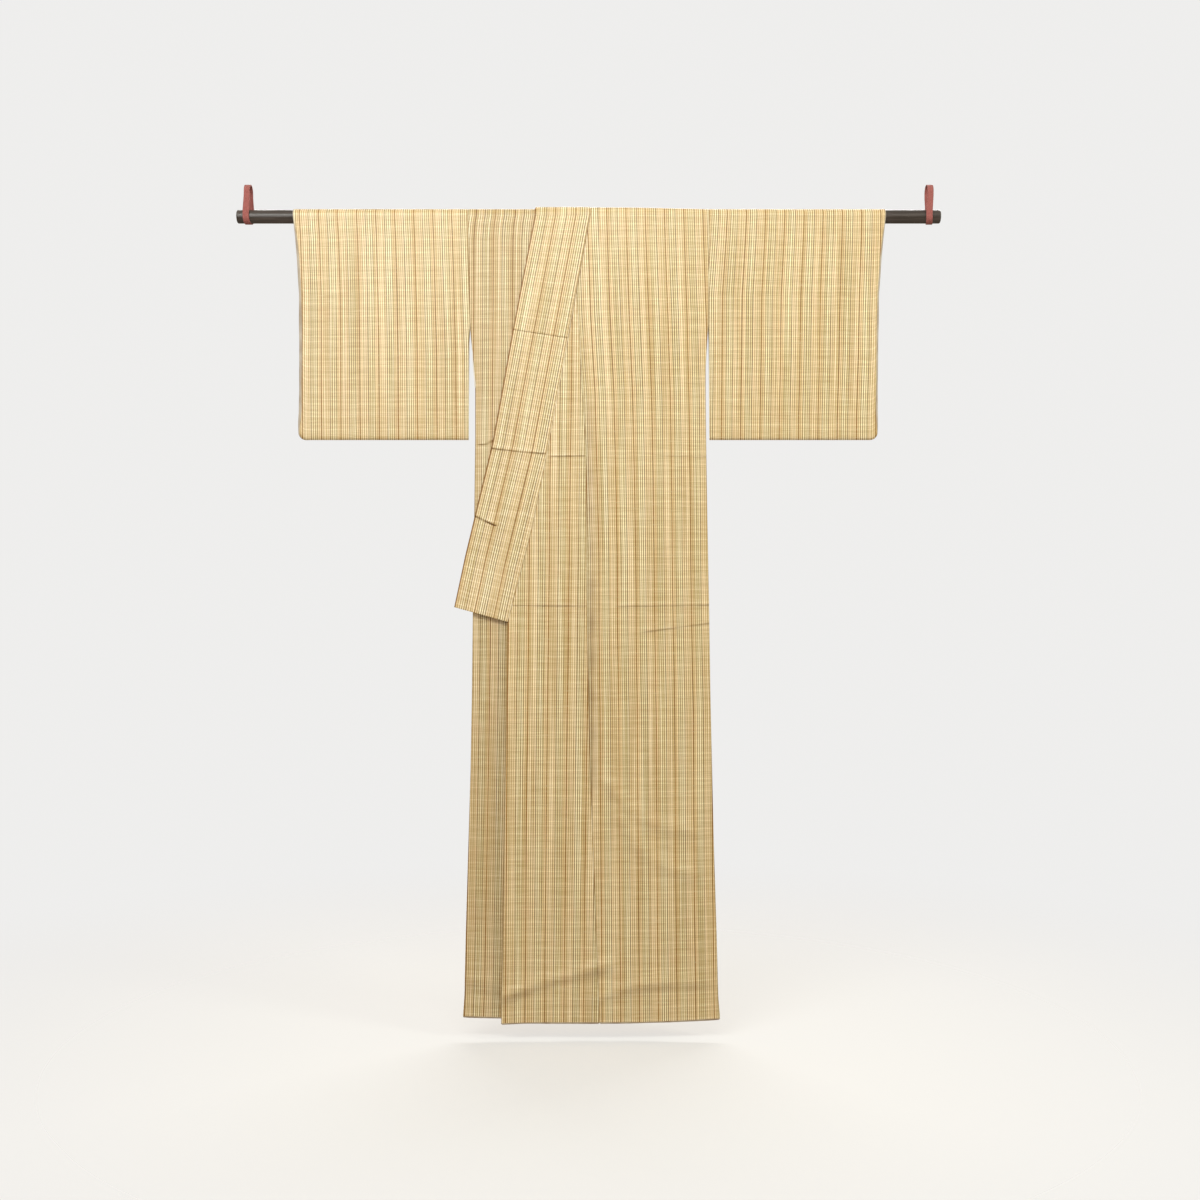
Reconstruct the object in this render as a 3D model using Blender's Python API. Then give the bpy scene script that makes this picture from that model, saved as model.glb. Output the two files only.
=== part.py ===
"""A lined silk kimono hung over a round rod, and the two strap loops that carry the rod.

The garment hangs closed, its left front over its right front. Both neck points meet at the
middle of the rod, so the spare width of the back lies in one knife pleat beside the centre
back seam. +X is the wearer's left, -Y is the front, and the origin is the middle of the rod.

Every cloth piece is a grid of points on the middle of its wall, thickened by a Solidify
modifier. A grid's place is worked out from two numbers: x across the garment, and how far
it has hung down from the rod. Each body panel is one cut from the front hem over the rod to
the back hem, but its solid is parted into a front, a shoulder and a back, so that none of
them bends round the hollow inside. Sizes are in millimetres until a mesh is made.
"""

import math

import bmesh
import bpy
import numpy as np

METRES = 0.001

# Walls and the gaps between pieces
PANEL_WALL = 1.5
COLLAR_WALL = 2.5
SEAM_GAP = 0.3
LAYER_GAP = 0.5
WELD_DISTANCE = 0.000001

# Rod and straps
ROD_RADIUS = 13.3
ROD_HALF_LENGTH = 705.0
ROD_SIDES = 24
ROD_END_BEVEL = 1.5
STRAP_X = 683.0
STRAP_WIDTH = 12.6
STRAP_WALL = 2.0
STRAP_TOP = 64.0

# Drops below the rod's axis
NECK_DROP = 20.0
KENSAKI_DROP = 150.0
ARMHOLE_DROP = 216.0
WRIST_DROP = 230.0
OVER_COLLAR_DROP = 246.0
SLIT_DROP = 370.0
SLEEVE_DROP = 447.4
COLLAR_END_DROP = 813.0
BACK_HEM_DROP = 1603.0
UNDER_HEM_DROP = 1606.0
OVER_HEM_DROP = 1611.0
OKUMI_TIP_DROP = KENSAKI_DROP + 3.0

# Widths
NECK_X = 3.0
FOLD_X = 1.0
SLEEVE_CORNER_RADIUS = 14.0
SIDE_POWER = 3
STACK_FULL_X = 65.0
STACK_EASE = 150.0

# Distances out from the hollow inside the garment to the middle of each wall
SEAT = ROD_RADIUS + SEAM_GAP
SEAM_HALF_GAP = SEAM_GAP / 2
UNDER_PANEL = PANEL_WALL / 2
UNDER_COLLAR = COLLAR_WALL / 2
OVER_STEP = COLLAR_WALL + LAYER_GAP
OVER_PANEL = OVER_STEP + PANEL_WALL / 2
OVER_FACE = OVER_STEP + PANEL_WALL
LEFT_COLLAR = OVER_FACE - COLLAR_WALL / 2
TOP_COLLAR = OVER_FACE + SEAM_GAP + PANEL_WALL / 2
PLEAT_RADIUS = (PANEL_WALL + LAYER_GAP) / 2
PLEAT_STACK = 2 * (PANEL_WALL + LAYER_GAP)

# Grid steps
ARC_STEPS = 12
PANEL_COLUMNS = 8
PLEAT_FOLD_STEPS = 4
PLEAT_COLUMNS = 3
OKUMI_COLUMNS = 4
COLLAR_COLUMNS = 4
SLEEVE_COLUMNS = 6
CORNER_STEPS = 3
BODY_DROPS = (0, 20, 60, 105, 150, 216, 246, 305, 345, 425, 473, 550, 629, 707, 813,
              900, 980, 1060, 1140, 1220, 1300, 1380, 1460, 1540)
SLEEVE_DROPS = (0, 20, 70, 120, 170, 216, 230, 290, 350, 405)


def table(names, *rows):
    """A short table: one array for each named column."""
    return dict(zip(names.split(), np.array(rows, float).T))


# The garment's side edges, and the sleeves' inner and outer edges
SIDES = table("drop right left",
              (0, -241.5, 241.0), (216, -237.4, 239.4), (246, -235.4, 237.2),
              (305, -229.4, 234.2), (345, -227.4, 234.2), (447, -227.4, 235.2),
              (600, -229.4, 237.6), (767, -232.0, 241.0), (967, -234.2, 244.0),
              (1107, -236.8, 247.2), (1247, -240.8, 250.4), (1447, -246.6, 256.6),
              (1566, -249.2, 259.6), (1603, -252.0, 263.0))
SLEEVE_INNER = table("drop right left",
                     (0, -241.5, 241.0), (216, -237.4, 239.4), (250, -240.0, 240.8),
                     (447.4, -240.8, 242.0))
SLEEVE_OUTER = table("drop right left",
                     (0, -591.5, 594.0), (47, -586.4, 589.2), (87, -584.2, 586.2),
                     (160, -580.8, 582.0), (300, -580.6, 580.4), (447.4, -581.8, 579.2))

# The left front: its collar seam, the collar's free edge and how much higher that lies,
# then the free front edge below the collar, and the okumi seam inside them
COLLAR = table("drop seam free rise",
               (0, 3.0, -107.0, 0.0), (246, -41.0, -151.0, 17.0), (473, -82.8, -192.0, 20.0),
               (629, -113.8, -229.2, 24.0), (707, -134.2, -247.2, 27.0),
               (813, -161.4, -268.4, 29.4))
FRONT_EDGE = table("drop x", (813, -161.4), (1487, -171.4), (1614, -174.4))
OKUMI_SEAM = table("drop x", (150, -23.8), (473, -5.0), (813, -3.0), (1060, 2.0),
                   (1300, 10.0), (1614, 22.0))
OVER_HEM = table("x drop", (-174.4, 1615.0), (100.0, 1614.0), (263.0, 1610.6))

# Half the hollow's depth at the middle, and the centre back seam beside the pleat
MIDDLE = table("drop depth", (0, SEAT), (246, 13.2), (813, 12.4), (1614, 11.4))
CENTRE_BACK = table("drop x", (20, -88.0), (425, -76.0), (1603, -44.0))

# Broad soft folds that the cloth hangs in: where each starts and ends, half its width and
# how far it stands out
FRONT_FOLDS = table("x0 drop0 x1 drop1 width height",
                    (70, 1120, 225, 1420, 55, 1.8), (-120, 1210, 20, 1570, 60, 1.6),
                    (-205, 930, -215, 1500, 35, -1.5), (95, 880, 60, 1120, 60, -1.4))
BACK_FOLDS = table("x0 drop0 x1 drop1 width height",
                   (150, 760, 120, 1560, 50, 2.2), (-165, 700, -175, 1580, 45, 2.0),
                   (70, 1000, 45, 1590, 40, -1.4))
FOLD_END = 140.0

SILK = (0.71, 0.55, 0.30)
SHADED_SILK = (0.56, 0.41, 0.20)
LACQUER = (0.05, 0.035, 0.03)
STRAP_CLOTH = (0.32, 0.12, 0.09)


def read(columns, name, drop):
    """Interpolate one column of a table at the given drops."""
    return np.interp(drop, columns["drop"], columns[name])


def ease(value):
    """Smooth step from 0 to 1."""
    value = np.clip(value, 0.0, 1.0)
    return value * value * (3 - 2 * value)


def fold_height(folds, x, drop):
    """Sum of soft ridges: each fades out across its line and over its two ends."""
    total = np.zeros(np.broadcast(x, drop).shape)
    for x0, drop0, x1, drop1, width, height in zip(*folds.values()):
        length = math.hypot(x1 - x0, drop1 - drop0)
        run_x = (x1 - x0) / length
        run_drop = (drop1 - drop0) / length
        along = (x - x0) * run_x + (drop - drop0) * run_drop
        across = (x - x0) * run_drop - (drop - drop0) * run_x
        ends = ease((along + FOLD_END) / FOLD_END) * ease((length + FOLD_END - along) / FOLD_END)
        total += height * ends * np.exp(-(across / width) ** 2)
    return total


def sleeve_hollow(drop):
    """Half the hollow's depth in a sleeve: front and back meet at its foot."""
    share = np.clip(1 - drop / SLEEVE_DROP, 0.0, 1.0)
    return SEAM_HALF_GAP + (SEAT - SEAM_HALF_GAP) * share


def side_hollow(drop):
    """Half the hollow's depth at the body's side edge: closed below the side slit."""
    return np.interp(drop, (0, ARMHOLE_DROP, SLIT_DROP),
                     (SEAT, sleeve_hollow(ARMHOLE_DROP), SEAM_HALF_GAP))


def side_share(x, drop):
    """0 at the middle, rising to 1 at the side edge."""
    edge = np.where(x < 0, read(SIDES, "right", drop), read(SIDES, "left", drop))
    return np.clip(x / edge, 0.0, 1.0)


def lens(x, drop, folds, side_drop_in):
    """Depth that is full at the middle and runs out to the side seams."""
    bend = side_share(x, drop) ** SIDE_POWER
    side = side_hollow(drop) - side_drop_in * (x > 0)
    middle = read(MIDDLE, "depth", drop)
    return middle + (side - middle) * bend + fold_height(folds, x, drop) * (1 - bend)


def front_hollow(x, drop):
    """Depth of the hollow in front of the rod's axis, behind the right front."""
    return lens(x, drop, FRONT_FOLDS, OVER_STEP)


def back_hollow(x, drop):
    """Depth of the hollow behind the rod's axis."""
    return lens(x, drop, BACK_FOLDS, 0.0)


def place(x, drop, angle, front, back):
    """Points at depth front, over the rod, and at depth back: angle runs from 0 to pi."""
    depth = front + (back - front) * angle / math.pi
    y = -depth * np.cos(angle)
    z = depth * np.sin(angle) - drop
    return np.stack(np.broadcast_arrays(x, y, z), axis=-1)


def path(front_drops, back_drops):
    """Drops and angles from a front foot, up over the rod and down to a back foot."""
    arc = np.linspace(0, math.pi, ARC_STEPS + 1)[1:-1]
    front = np.array(front_drops[::-1], float)
    back = np.array(back_drops, float)
    drop = np.concatenate([front, np.zeros(len(arc)), back])
    angle = np.concatenate([np.zeros(len(front)), arc, np.full(len(back), math.pi)])
    return drop[:, None], angle[:, None]


def panel_path(region, hem_drop):
    """Drops and angles of one region of a body panel: its front, shoulder or back."""
    if region == "shoulder":
        return path((0.0,), (0.0,))
    drop = np.array((SEAM_GAP,) + BODY_DROPS[1:] + (hem_drop,), float)[:, None]
    return drop, np.full(drop.shape, 0.0 if region == "front" else math.pi)


def spread(start, end, steps):
    """Points spaced evenly from one edge to the other, a row for each station."""
    share = np.linspace(0, 1, steps + 1)[None, :]
    return start + (end - start) * share


def join_columns(drop, *parts):
    """Set grids side by side, giving each one a row for every drop."""
    rows = len(drop)
    return np.concatenate([np.broadcast_to(part, (rows, part.shape[1])) for part in parts],
                          axis=1)


def principled(name, colour, roughness):
    """One plain material."""
    finish = bpy.data.materials.new(name)
    finish.use_nodes = True
    shader = finish.node_tree.nodes["Principled BSDF"]
    shader.inputs["Base Color"].default_value = (*colour, 1)
    shader.inputs["Roughness"].default_value = roughness
    return finish


def mesh_object(name, shape, finish):
    """Turn a bmesh into an object with its material, shaded smooth."""
    mesh = bpy.data.meshes.new(name)
    shape.to_mesh(mesh)
    shape.free()
    mesh.materials.append(finish)
    mesh.shade_smooth()
    mesh.set_sharp_from_angle(angle=math.radians(40))
    item = bpy.data.objects.new(name, mesh)
    bpy.context.collection.objects.link(item)
    return item


def cloth(name, points, wall, finish, missing=None, closing=()):
    """A wall of cloth on a grid of points. missing marks cells that the cut leaves out, and
    closing lists further faces as four (row, column) corners."""
    shape = bmesh.new()
    rows, columns = points.shape[:2]
    corner = [[shape.verts.new(points[r, c] * METRES) for c in range(columns)]
              for r in range(rows)]
    for r in range(rows - 1):
        for c in range(columns - 1):
            if missing is None or not missing[r, c]:
                shape.faces.new((corner[r][c], corner[r][c + 1],
                                 corner[r + 1][c + 1], corner[r + 1][c]))
    for face in closing:
        shape.faces.new([corner[r][c] for r, c in face])
    loose = [vert for vert in shape.verts if not vert.link_faces]
    bmesh.ops.delete(shape, geom=loose, context="VERTS")
    bmesh.ops.remove_doubles(shape, verts=shape.verts, dist=WELD_DISTANCE)
    item = mesh_object(name, shape, finish)
    solidify = item.modifiers.new("wall", "SOLIDIFY")
    solidify.thickness = wall * METRES
    solidify.offset = 0
    solidify.use_even_offset = True
    solidify.use_quality_normals = True
    return item


def left_front_edge(drop):
    """Where the left body panel ends at the front: the collar seam, then the okumi seam."""
    return np.where(drop < KENSAKI_DROP, read(COLLAR, "seam", drop),
                    read(OKUMI_SEAM, "x", drop)) + SEAM_HALF_GAP


def mirrored(x):
    """The same place on the other front."""
    return 2 * NECK_X - x


def over_hem(x, drop):
    """Let the left front's last row follow its sloping hem line."""
    line = np.interp(x, OVER_HEM["x"], OVER_HEM["drop"])
    return np.where(drop == OVER_HEM_DROP, line, drop)


def sleeve_seam(drop):
    """Half a seam's gap along the armhole, and none below it."""
    return SEAM_HALF_GAP * (drop <= ARMHOLE_DROP)


def cut_above_neck(x, drop):
    """The cells above the back neck line that lie past the neck point, which the cut omits."""
    missing = np.zeros(x.shape, bool)
    missing[:, PANEL_COLUMNS:] = drop < NECK_DROP
    return missing


def make_body_right(region, hem_drop, finish):
    """A region of the right panel. Its back has the pleat's fold and return."""
    drop, angle = panel_path(region, hem_drop)
    side = read(SIDES, "right", drop) + sleeve_seam(drop)
    neck = {"front": mirrored(left_front_edge(drop)), "shoulder": NECK_X - SEAM_HALF_GAP,
            "back": FOLD_X}[region]
    x = spread(side, neck, PANEL_COLUMNS)
    lift = np.zeros(x.shape)
    if region == "back":
        turn = np.linspace(0, math.pi, PLEAT_FOLD_STEPS + 1)[None, 1:]
        fold = FOLD_X + PLEAT_RADIUS * np.sin(turn)
        returned = spread(FOLD_X, read(CENTRE_BACK, "x", drop), PLEAT_COLUMNS)[:, 1:]
        lift = join_columns(drop, lift, PLEAT_RADIUS * (1 - np.cos(turn)),
                            np.full(returned.shape, 2 * PLEAT_RADIUS))
        x = join_columns(drop, x, fold, returned)
    points = place(x, drop, angle, front_hollow(x, drop) + UNDER_PANEL,
                   back_hollow(x, drop) + UNDER_PANEL + lift)
    return cloth("body_right_" + region, points, PANEL_WALL, finish, cut_above_neck(x, drop))


def make_body_left(region, hem_drop, finish):
    """A region of the left panel, which lies over the right one and over the pleat."""
    drop, angle = panel_path(region, hem_drop)
    side = read(SIDES, "left", drop) - sleeve_seam(drop)
    neck = NECK_X + SEAM_HALF_GAP
    x = spread(side, left_front_edge(drop) if region == "front" else neck, PANEL_COLUMNS)
    if region == "back":
        past_neck = spread(neck, read(CENTRE_BACK, "x", drop), PLEAT_COLUMNS)[:, 1:]
        x = join_columns(drop, x, past_neck)
    hung = over_hem(x, drop)
    stack = PLEAT_STACK * (1 - ease((x - STACK_FULL_X) / STACK_EASE))
    points = place(x, hung, angle, front_hollow(x, hung) + OVER_PANEL,
                   back_hollow(x, hung) + UNDER_PANEL + stack)
    return cloth("body_left_" + region, points, PANEL_WALL, finish, cut_above_neck(x, drop))


def make_okumi(name, over, finish):
    """An overlap panel: a long wedge from its tip at the collar to the hem."""
    rows = [OKUMI_TIP_DROP] + [row for row in BODY_DROPS if row > OKUMI_TIP_DROP]
    rows.append(OVER_HEM_DROP if over else UNDER_HEM_DROP)
    drop = np.array(rows, float)[:, None]
    inner = read(OKUMI_SEAM, "x", drop) - SEAM_HALF_GAP
    outer = np.where(drop < COLLAR_END_DROP, read(COLLAR, "seam", drop) + SEAM_HALF_GAP,
                     read(FRONT_EDGE, "x", drop))
    outer[0] = inner[0]
    x = spread(inner, outer, OKUMI_COLUMNS)
    hung = over_hem(x, drop)
    depth_out = OVER_PANEL
    if not over:
        x = mirrored(x)
        hung = drop
        depth_out = UNDER_PANEL
    depth = front_hollow(x, hung) + depth_out
    return cloth(name, place(x, hung, 0, depth, depth), PANEL_WALL, finish)


def make_collar(name, last_drop, width_share, depth_out, wall, finish, mirror=False):
    """One band of the collar, from the back neck over the rod and down to last_drop."""
    drop, angle = path([row for row in BODY_DROPS if row <= last_drop],
                       [0.0, NECK_DROP - SEAM_GAP])
    hanging = angle == 0
    seam = np.where(hanging, read(COLLAR, "seam", drop), NECK_X) - SEAM_HALF_GAP
    free = np.where(hanging, read(COLLAR, "free", drop), COLLAR["free"][0])
    rise = np.where(hanging, read(COLLAR, "rise", drop), 0)
    x = spread(seam, seam + (free - seam) * width_share, COLLAR_COLUMNS)
    hung = drop - spread(0, rise * width_share, COLLAR_COLUMNS)
    if mirror:
        x = mirrored(x)
    points = place(x, hung, angle, front_hollow(x, hung) + depth_out,
                   front_hollow(x, 0) + depth_out)
    return cloth(name, points, wall, finish)


def make_sleeve(name, side, finish):
    """A sleeve: one panel folded over the rod, closed along its foot and below the wrist."""
    sign = -1 if side == "right" else 1
    corner = np.linspace(0, math.pi / 2, CORNER_STEPS + 1)
    inset = SLEEVE_CORNER_RADIUS * (1 - np.sin(corner))
    foot_rise = SLEEVE_CORNER_RADIUS * (1 - np.cos(corner))
    flat_share = np.linspace(0, 1, SLEEVE_COLUMNS + 1)[:-1]
    rise = np.concatenate([0 * flat_share, foot_rise])[None, :]

    drops = SLEEVE_DROPS + (SLEEVE_DROP,)
    drop, angle = path(drops, drops)
    inner = read(SLEEVE_INNER, side, drop) + sign * SEAM_HALF_GAP
    outer = read(SLEEVE_OUTER, side, drop)
    knee = outer - sign * SLEEVE_CORNER_RADIUS
    x = join_columns(drop, inner + (knee - inner) * flat_share, outer - sign * inset)
    foot = SLEEVE_DROP - rise
    hung = drop * foot / SLEEVE_DROP
    share = (x - inner) / (outer - inner)
    wrist = SEAM_HALF_GAP + (SEAT - SEAM_HALF_GAP) * np.clip(1 - hung / WRIST_DROP, 0, 1)
    full = sleeve_hollow(drop)
    depth = full + (wrist - full) * share ** SIDE_POWER + PANEL_WALL / 2
    points = place(x, hung, angle, depth, depth)

    rows, columns = x.shape
    last = columns - 1
    closing = [((rows - 1, c), (rows - 1, c + 1), (0, c + 1), (0, c)) for c in range(last)]
    sewn = sum(1 for d in drops if d > WRIST_DROP)
    closing += [((r, last), (rows - 1 - r, last), (rows - 2 - r, last), (r + 1, last))
                for r in range(sewn)]
    return cloth(name, points, PANEL_WALL, finish, closing=closing)


def make_rod(finish):
    """The round rod along X, with its rims eased."""
    shape = bmesh.new()
    bmesh.ops.create_cone(shape, cap_ends=True, segments=ROD_SIDES,
                          radius1=ROD_RADIUS * METRES, radius2=ROD_RADIUS * METRES,
                          depth=2 * ROD_HALF_LENGTH * METRES)
    for vert in shape.verts:
        vert.co = (vert.co.z, vert.co.x, vert.co.y)
    rod = mesh_object("rod", shape, finish)
    bevel = rod.modifiers.new("rims", "BEVEL")
    bevel.width = ROD_END_BEVEL * METRES
    bevel.segments = 2
    bevel.limit_method = "ANGLE"
    bevel.angle_limit = math.radians(40)
    return rod


def make_strap(name, x, finish):
    """A flat strap in a long loop, round the rod's underside and up to its top turn."""
    radius = ROD_RADIUS + SEAM_GAP + STRAP_WALL / 2
    top = STRAP_TOP - STRAP_WALL / 2 - radius
    turn = np.linspace(0, math.pi, ARC_STEPS + 1)
    under = np.stack([radius * np.cos(turn), -radius * np.sin(turn)], axis=1)
    over = np.stack([-radius * np.cos(turn), top + radius * np.sin(turn)], axis=1)
    loop = np.concatenate([under, over])
    edges = x + STRAP_WIDTH * np.array((-0.5, 0.5))
    points = np.array([[(edge, y, z) for edge in edges] for y, z in loop])
    last = len(loop) - 1
    return cloth(name, points, STRAP_WALL, finish,
                 closing=[((last, 0), (last, 1), (0, 1), (0, 0))])


def main():
    """Clear the scene and build every piece."""
    for item in list(bpy.data.objects):
        bpy.data.objects.remove(item, do_unlink=True)

    lacquer = principled("lacquer", LACQUER, 0.3)
    strap = principled("strap", STRAP_CLOTH, 0.7)
    make_rod(lacquer)
    make_strap("strap_left", STRAP_X, strap)
    make_strap("strap_right", -STRAP_X, strap)

    right_silk = principled("silk_body_right", SHADED_SILK, 0.6)
    left_silk = principled("silk_body_left", SILK, 0.6)
    for region in ("front", "shoulder", "back"):
        front = region == "front"
        make_body_right(region, UNDER_HEM_DROP if front else BACK_HEM_DROP, right_silk)
        make_body_left(region, OVER_HEM_DROP if front else BACK_HEM_DROP, left_silk)
    make_okumi("okumi_left", True, principled("silk_okumi_left", SILK, 0.6))
    make_okumi("okumi_right", False, principled("silk_okumi_right", SHADED_SILK, 0.6))
    collar_silk = principled("silk_collar", SILK, 0.6)
    make_collar("collar_left", COLLAR_END_DROP, 1.0, LEFT_COLLAR, COLLAR_WALL, collar_silk)
    make_collar("collar_right", COLLAR_END_DROP, 0.5, UNDER_COLLAR, COLLAR_WALL, collar_silk,
                mirror=True)
    make_collar("over_collar", OVER_COLLAR_DROP, 1.0, TOP_COLLAR, PANEL_WALL, collar_silk)
    make_sleeve("sleeve_left", "left", principled("silk_sleeve_left", SILK, 0.6))
    make_sleeve("sleeve_right", "right", principled("silk_sleeve_right", SILK, 0.6))


main()
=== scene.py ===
"""The looks of a lined silk kimono that hangs closed over a lacquered rod.

Every cloth piece is a fine grid on the middle of its wall. It hangs in the same form as its
solid, with creases placed on top. A place on the garment is given by x across it and
by how far it has hung down from the rod, its drop. The front faces -Y, +X is the wearer's
left, and sizes are in millimetres until a mesh is made.
"""

from __future__ import annotations

import logging
import math
from dataclasses import dataclass, field
from enum import Enum

import bpy
import numpy as np
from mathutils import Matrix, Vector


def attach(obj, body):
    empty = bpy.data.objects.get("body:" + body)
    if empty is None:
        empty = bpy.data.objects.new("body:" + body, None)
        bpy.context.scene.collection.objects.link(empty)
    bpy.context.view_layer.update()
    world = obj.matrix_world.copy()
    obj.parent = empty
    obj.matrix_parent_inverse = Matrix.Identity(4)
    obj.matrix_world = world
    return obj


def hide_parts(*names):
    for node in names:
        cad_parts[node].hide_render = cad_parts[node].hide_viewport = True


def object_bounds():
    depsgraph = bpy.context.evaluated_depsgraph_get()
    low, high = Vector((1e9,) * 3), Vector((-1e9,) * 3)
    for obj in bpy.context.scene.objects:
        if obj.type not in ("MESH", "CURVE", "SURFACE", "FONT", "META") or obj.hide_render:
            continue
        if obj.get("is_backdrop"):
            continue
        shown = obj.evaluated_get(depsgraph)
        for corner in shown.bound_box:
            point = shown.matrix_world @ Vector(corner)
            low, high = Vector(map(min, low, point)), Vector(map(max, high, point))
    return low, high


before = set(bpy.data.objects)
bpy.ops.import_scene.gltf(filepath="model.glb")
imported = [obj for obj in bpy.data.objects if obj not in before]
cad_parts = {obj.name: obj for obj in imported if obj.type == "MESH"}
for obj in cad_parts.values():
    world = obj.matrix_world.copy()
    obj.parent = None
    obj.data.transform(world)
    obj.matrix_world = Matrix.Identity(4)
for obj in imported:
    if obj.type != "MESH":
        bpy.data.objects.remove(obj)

LOG = logging.getLogger("kimono")
BODY = "root"
METRES = 0.001
CUT = "cut"
# The attribute that carries painted shade along creases, seams and edges
SHADE_ATTRIBUTE = "press"

Array = np.ndarray
Table = dict[str, Array]

# Walls and gaps, and how far the middle of each wall lies out from the hollow inside
PANEL_WALL = 1.2
COLLAR_WALL = 1.9
OVER_COLLAR_WALL = 0.6
SEAM_HALF_GAP = 0.15
EDGE_FLARE = 10.0
FLARE_DROP = 690.0
FLARE_EASE = 150.0
UNDER_PANEL = 0.75
UNDER_COLLAR = 1.25
LEFT_COLLAR = 3.25
OVER_PANEL = 3.75
TOP_COLLAR = 5.3
PLEAT_RADIUS = 1.0
PLEAT_STACK = 4.0
OVER_STEP = 3.0

# Edges: how far a sewn one and a folded one dip as they turn in, over what reach, and how
# darkly and how widely shade is painted along them and along the seams
SEWN_DIP = 0.45
SIDE_DIP = 0.5
TURN_REACH = 3.0
EDGE_SHADE = 0.34
EDGE_SHADE_REACH = 1.1

# Rod
ROD_RADIUS = 13.3
SEAT = 13.6

# Drops below the rod's axis
NECK_DROP = 20.0
KENSAKI_DROP = 150.0
ARMHOLE_DROP = 216.0
WRIST_DROP = 230.0
OVER_COLLAR_DROP = 246.0
SLIT_DROP = 370.0
SLEEVE_DROP = 447.4
COLLAR_END_DROP = 813.0
BACK_HEM_DROP = 1603.0
UNDER_HEM_DROP = 1606.0
OVER_HEM_DROP = 1611.0
SLOPE_DROP = 1400.0

# Widths
NECK_X = 3.0
FOLD_X = 1.0
SIDE_POWER = 3
STACK_FULL_X = 65.0
STACK_EASE = 150.0
FOLD_END = 140.0
STRIPE_REPEAT = 38.4

# Creases: how widely shade is painted along a pressed line and how far below its keen edge,
# where a lip's shadow falls, how the painted shade and the relief vary along it (share and
# waves), where they fade out at the rod, and how far a lip's break reaches either side of it
SHADE_WIDTH = 1.8
SHADE_BELOW = 0.7
SHADE_WAVE = (0.2, 61)
SWELL = ((0.25, 7.3), (0.15, 17.9))
ROD_FADE = 60.0
LIP_REACH = 1.0

# How much of the cut goes round a roll of lining, in millimetres for each radian
CUT_ROUND = 0.5

# Grid steps
ARC_STEPS = 20
ROW_PITCH = 8.0
FINE_PITCH = 1.25
EDGE_STEPS = (0.0, 0.9, 2.0, 3.6)


def table(names: str, *rows: tuple[float, ...]) -> Table:
    """Named columns of numbers, from their names and one tuple for each row."""
    return dict(zip(names.split(), np.array(rows, float).T))


# The garment's side edges and the sleeves' inner and outer edges. At the hem the left side
# kicks out, and so does the right one.
SIDES = table("drop right left",
              (0, -241.5, 241.0), (216, -237.4, 239.4), (246, -235.4, 237.2),
              (305, -229.4, 234.2), (345, -227.4, 234.2), (447, -227.4, 235.2),
              (600, -229.4, 237.6), (767, -232.0, 241.0), (967, -234.2, 244.0),
              (1107, -236.8, 247.2), (1247, -240.8, 250.4), (1447, -246.6, 256.6),
              (1566, -249.2, 259.6), (1603, -252.0, 263.0))
SLEEVE_INNER = table("drop right left",
                     (0, -241.5, 241.0), (216, -237.4, 239.4), (250, -240.0, 240.8),
                     (447.4, -240.8, 242.0))
SLEEVE_OUTER = table("drop right left",
                     (0, -591.5, 594.0), (47, -586.4, 589.2), (87, -584.2, 586.2),
                     (160, -580.8, 582.0), (300, -580.6, 580.4), (447.4, -581.8, 579.2))

# The left front: its collar seam, the collar's free edge and how much higher that lies,
# then the free front edge below the collar, and the okumi seam inside them
COLLAR = table("drop seam free rise",
               (0, 3.0, -107.0, 0.0), (246, -41.0, -151.0, 17.0), (473, -82.8, -192.0, 20.0),
               (629, -113.8, -229.2, 24.0), (707, -134.2, -247.2, 27.0),
               (813, -161.4, -268.4, 29.4))
FRONT_EDGE = table("drop x", (813, -161.4), (1487, -171.4), (1614, -174.4))
OKUMI_SEAM = table("drop x", (150, -23.8), (473, -5.0), (813, -3.0), (1060, 2.0),
                   (1300, 10.0), (1614, 22.0))
OVER_HEM = table("x drop", (-174.4, 1615.0), (100.0, 1614.0), (263.0, 1610.6))

# Half the hollow's depth at the middle, and the centre back seam beside the pleat
MIDDLE = table("drop depth", (0, SEAT), (246, 13.2), (813, 12.4), (1614, 11.4))
CENTRE_BACK = table("drop x", (20, -88.0), (425, -76.0), (1603, -44.0))

# Broad soft folds that the cloth hangs in: where each starts and ends, half its width and
# how far it stands out
FRONT_FOLDS = table("x0 drop0 x1 drop1 width height",
                    (70, 1120, 225, 1420, 55, 1.8), (-120, 1210, 20, 1570, 60, 1.6),
                    (-205, 930, -215, 1500, 35, -1.5), (95, 880, 60, 1120, 60, -1.4))
BACK_FOLDS = table("x0 drop0 x1 drop1 width height",
                   (150, 760, 120, 1560, 50, 2.2), (-165, 700, -175, 1580, 45, 2.0),
                   (70, 1000, 45, 1590, 40, -1.4))

CHECK = {"body_left": (446.4, 1), "okumi_left": (1034.0, 1), "sleeve_left": (417.8, 1),
         "body_right": (1044.0, -1), "okumi_right": (1034.0, -1), "sleeve_right": (426.8, -1),
         "collar_left": (300.0, 1), "collar_right": (300.0, -1), "over_collar": (90.0, -1)}


def read(columns: Table, name: str, drop: Array | float) -> Array:
    """One column of a table, interpolated at the given drops."""
    return np.interp(drop, columns["drop"], columns[name])


@dataclass(frozen=True)
class StripeLines:
    """Where two of a cut's rust stripes run, counted inwards from its outermost one.

    The grain is straight but the edges aren't, and soft folds narrow the cloth as it hangs.
    """

    first: int
    last: int
    lines: Table

    def across(self, x: Array, drop: Array) -> Array:
        """How far in from the outermost rust stripe each place lies on the flat cut.

        Args:
            x: places across the garment.
            drop: how far down they are.

        Returns:
            The millimetres across the cut.
        """
        first, last = read(self.lines, "first", drop), read(self.lines, "last", drop)
        share = (x - first) / (last - first)
        return STRIPE_REPEAT * (self.first + (self.last - self.first) * share)


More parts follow.
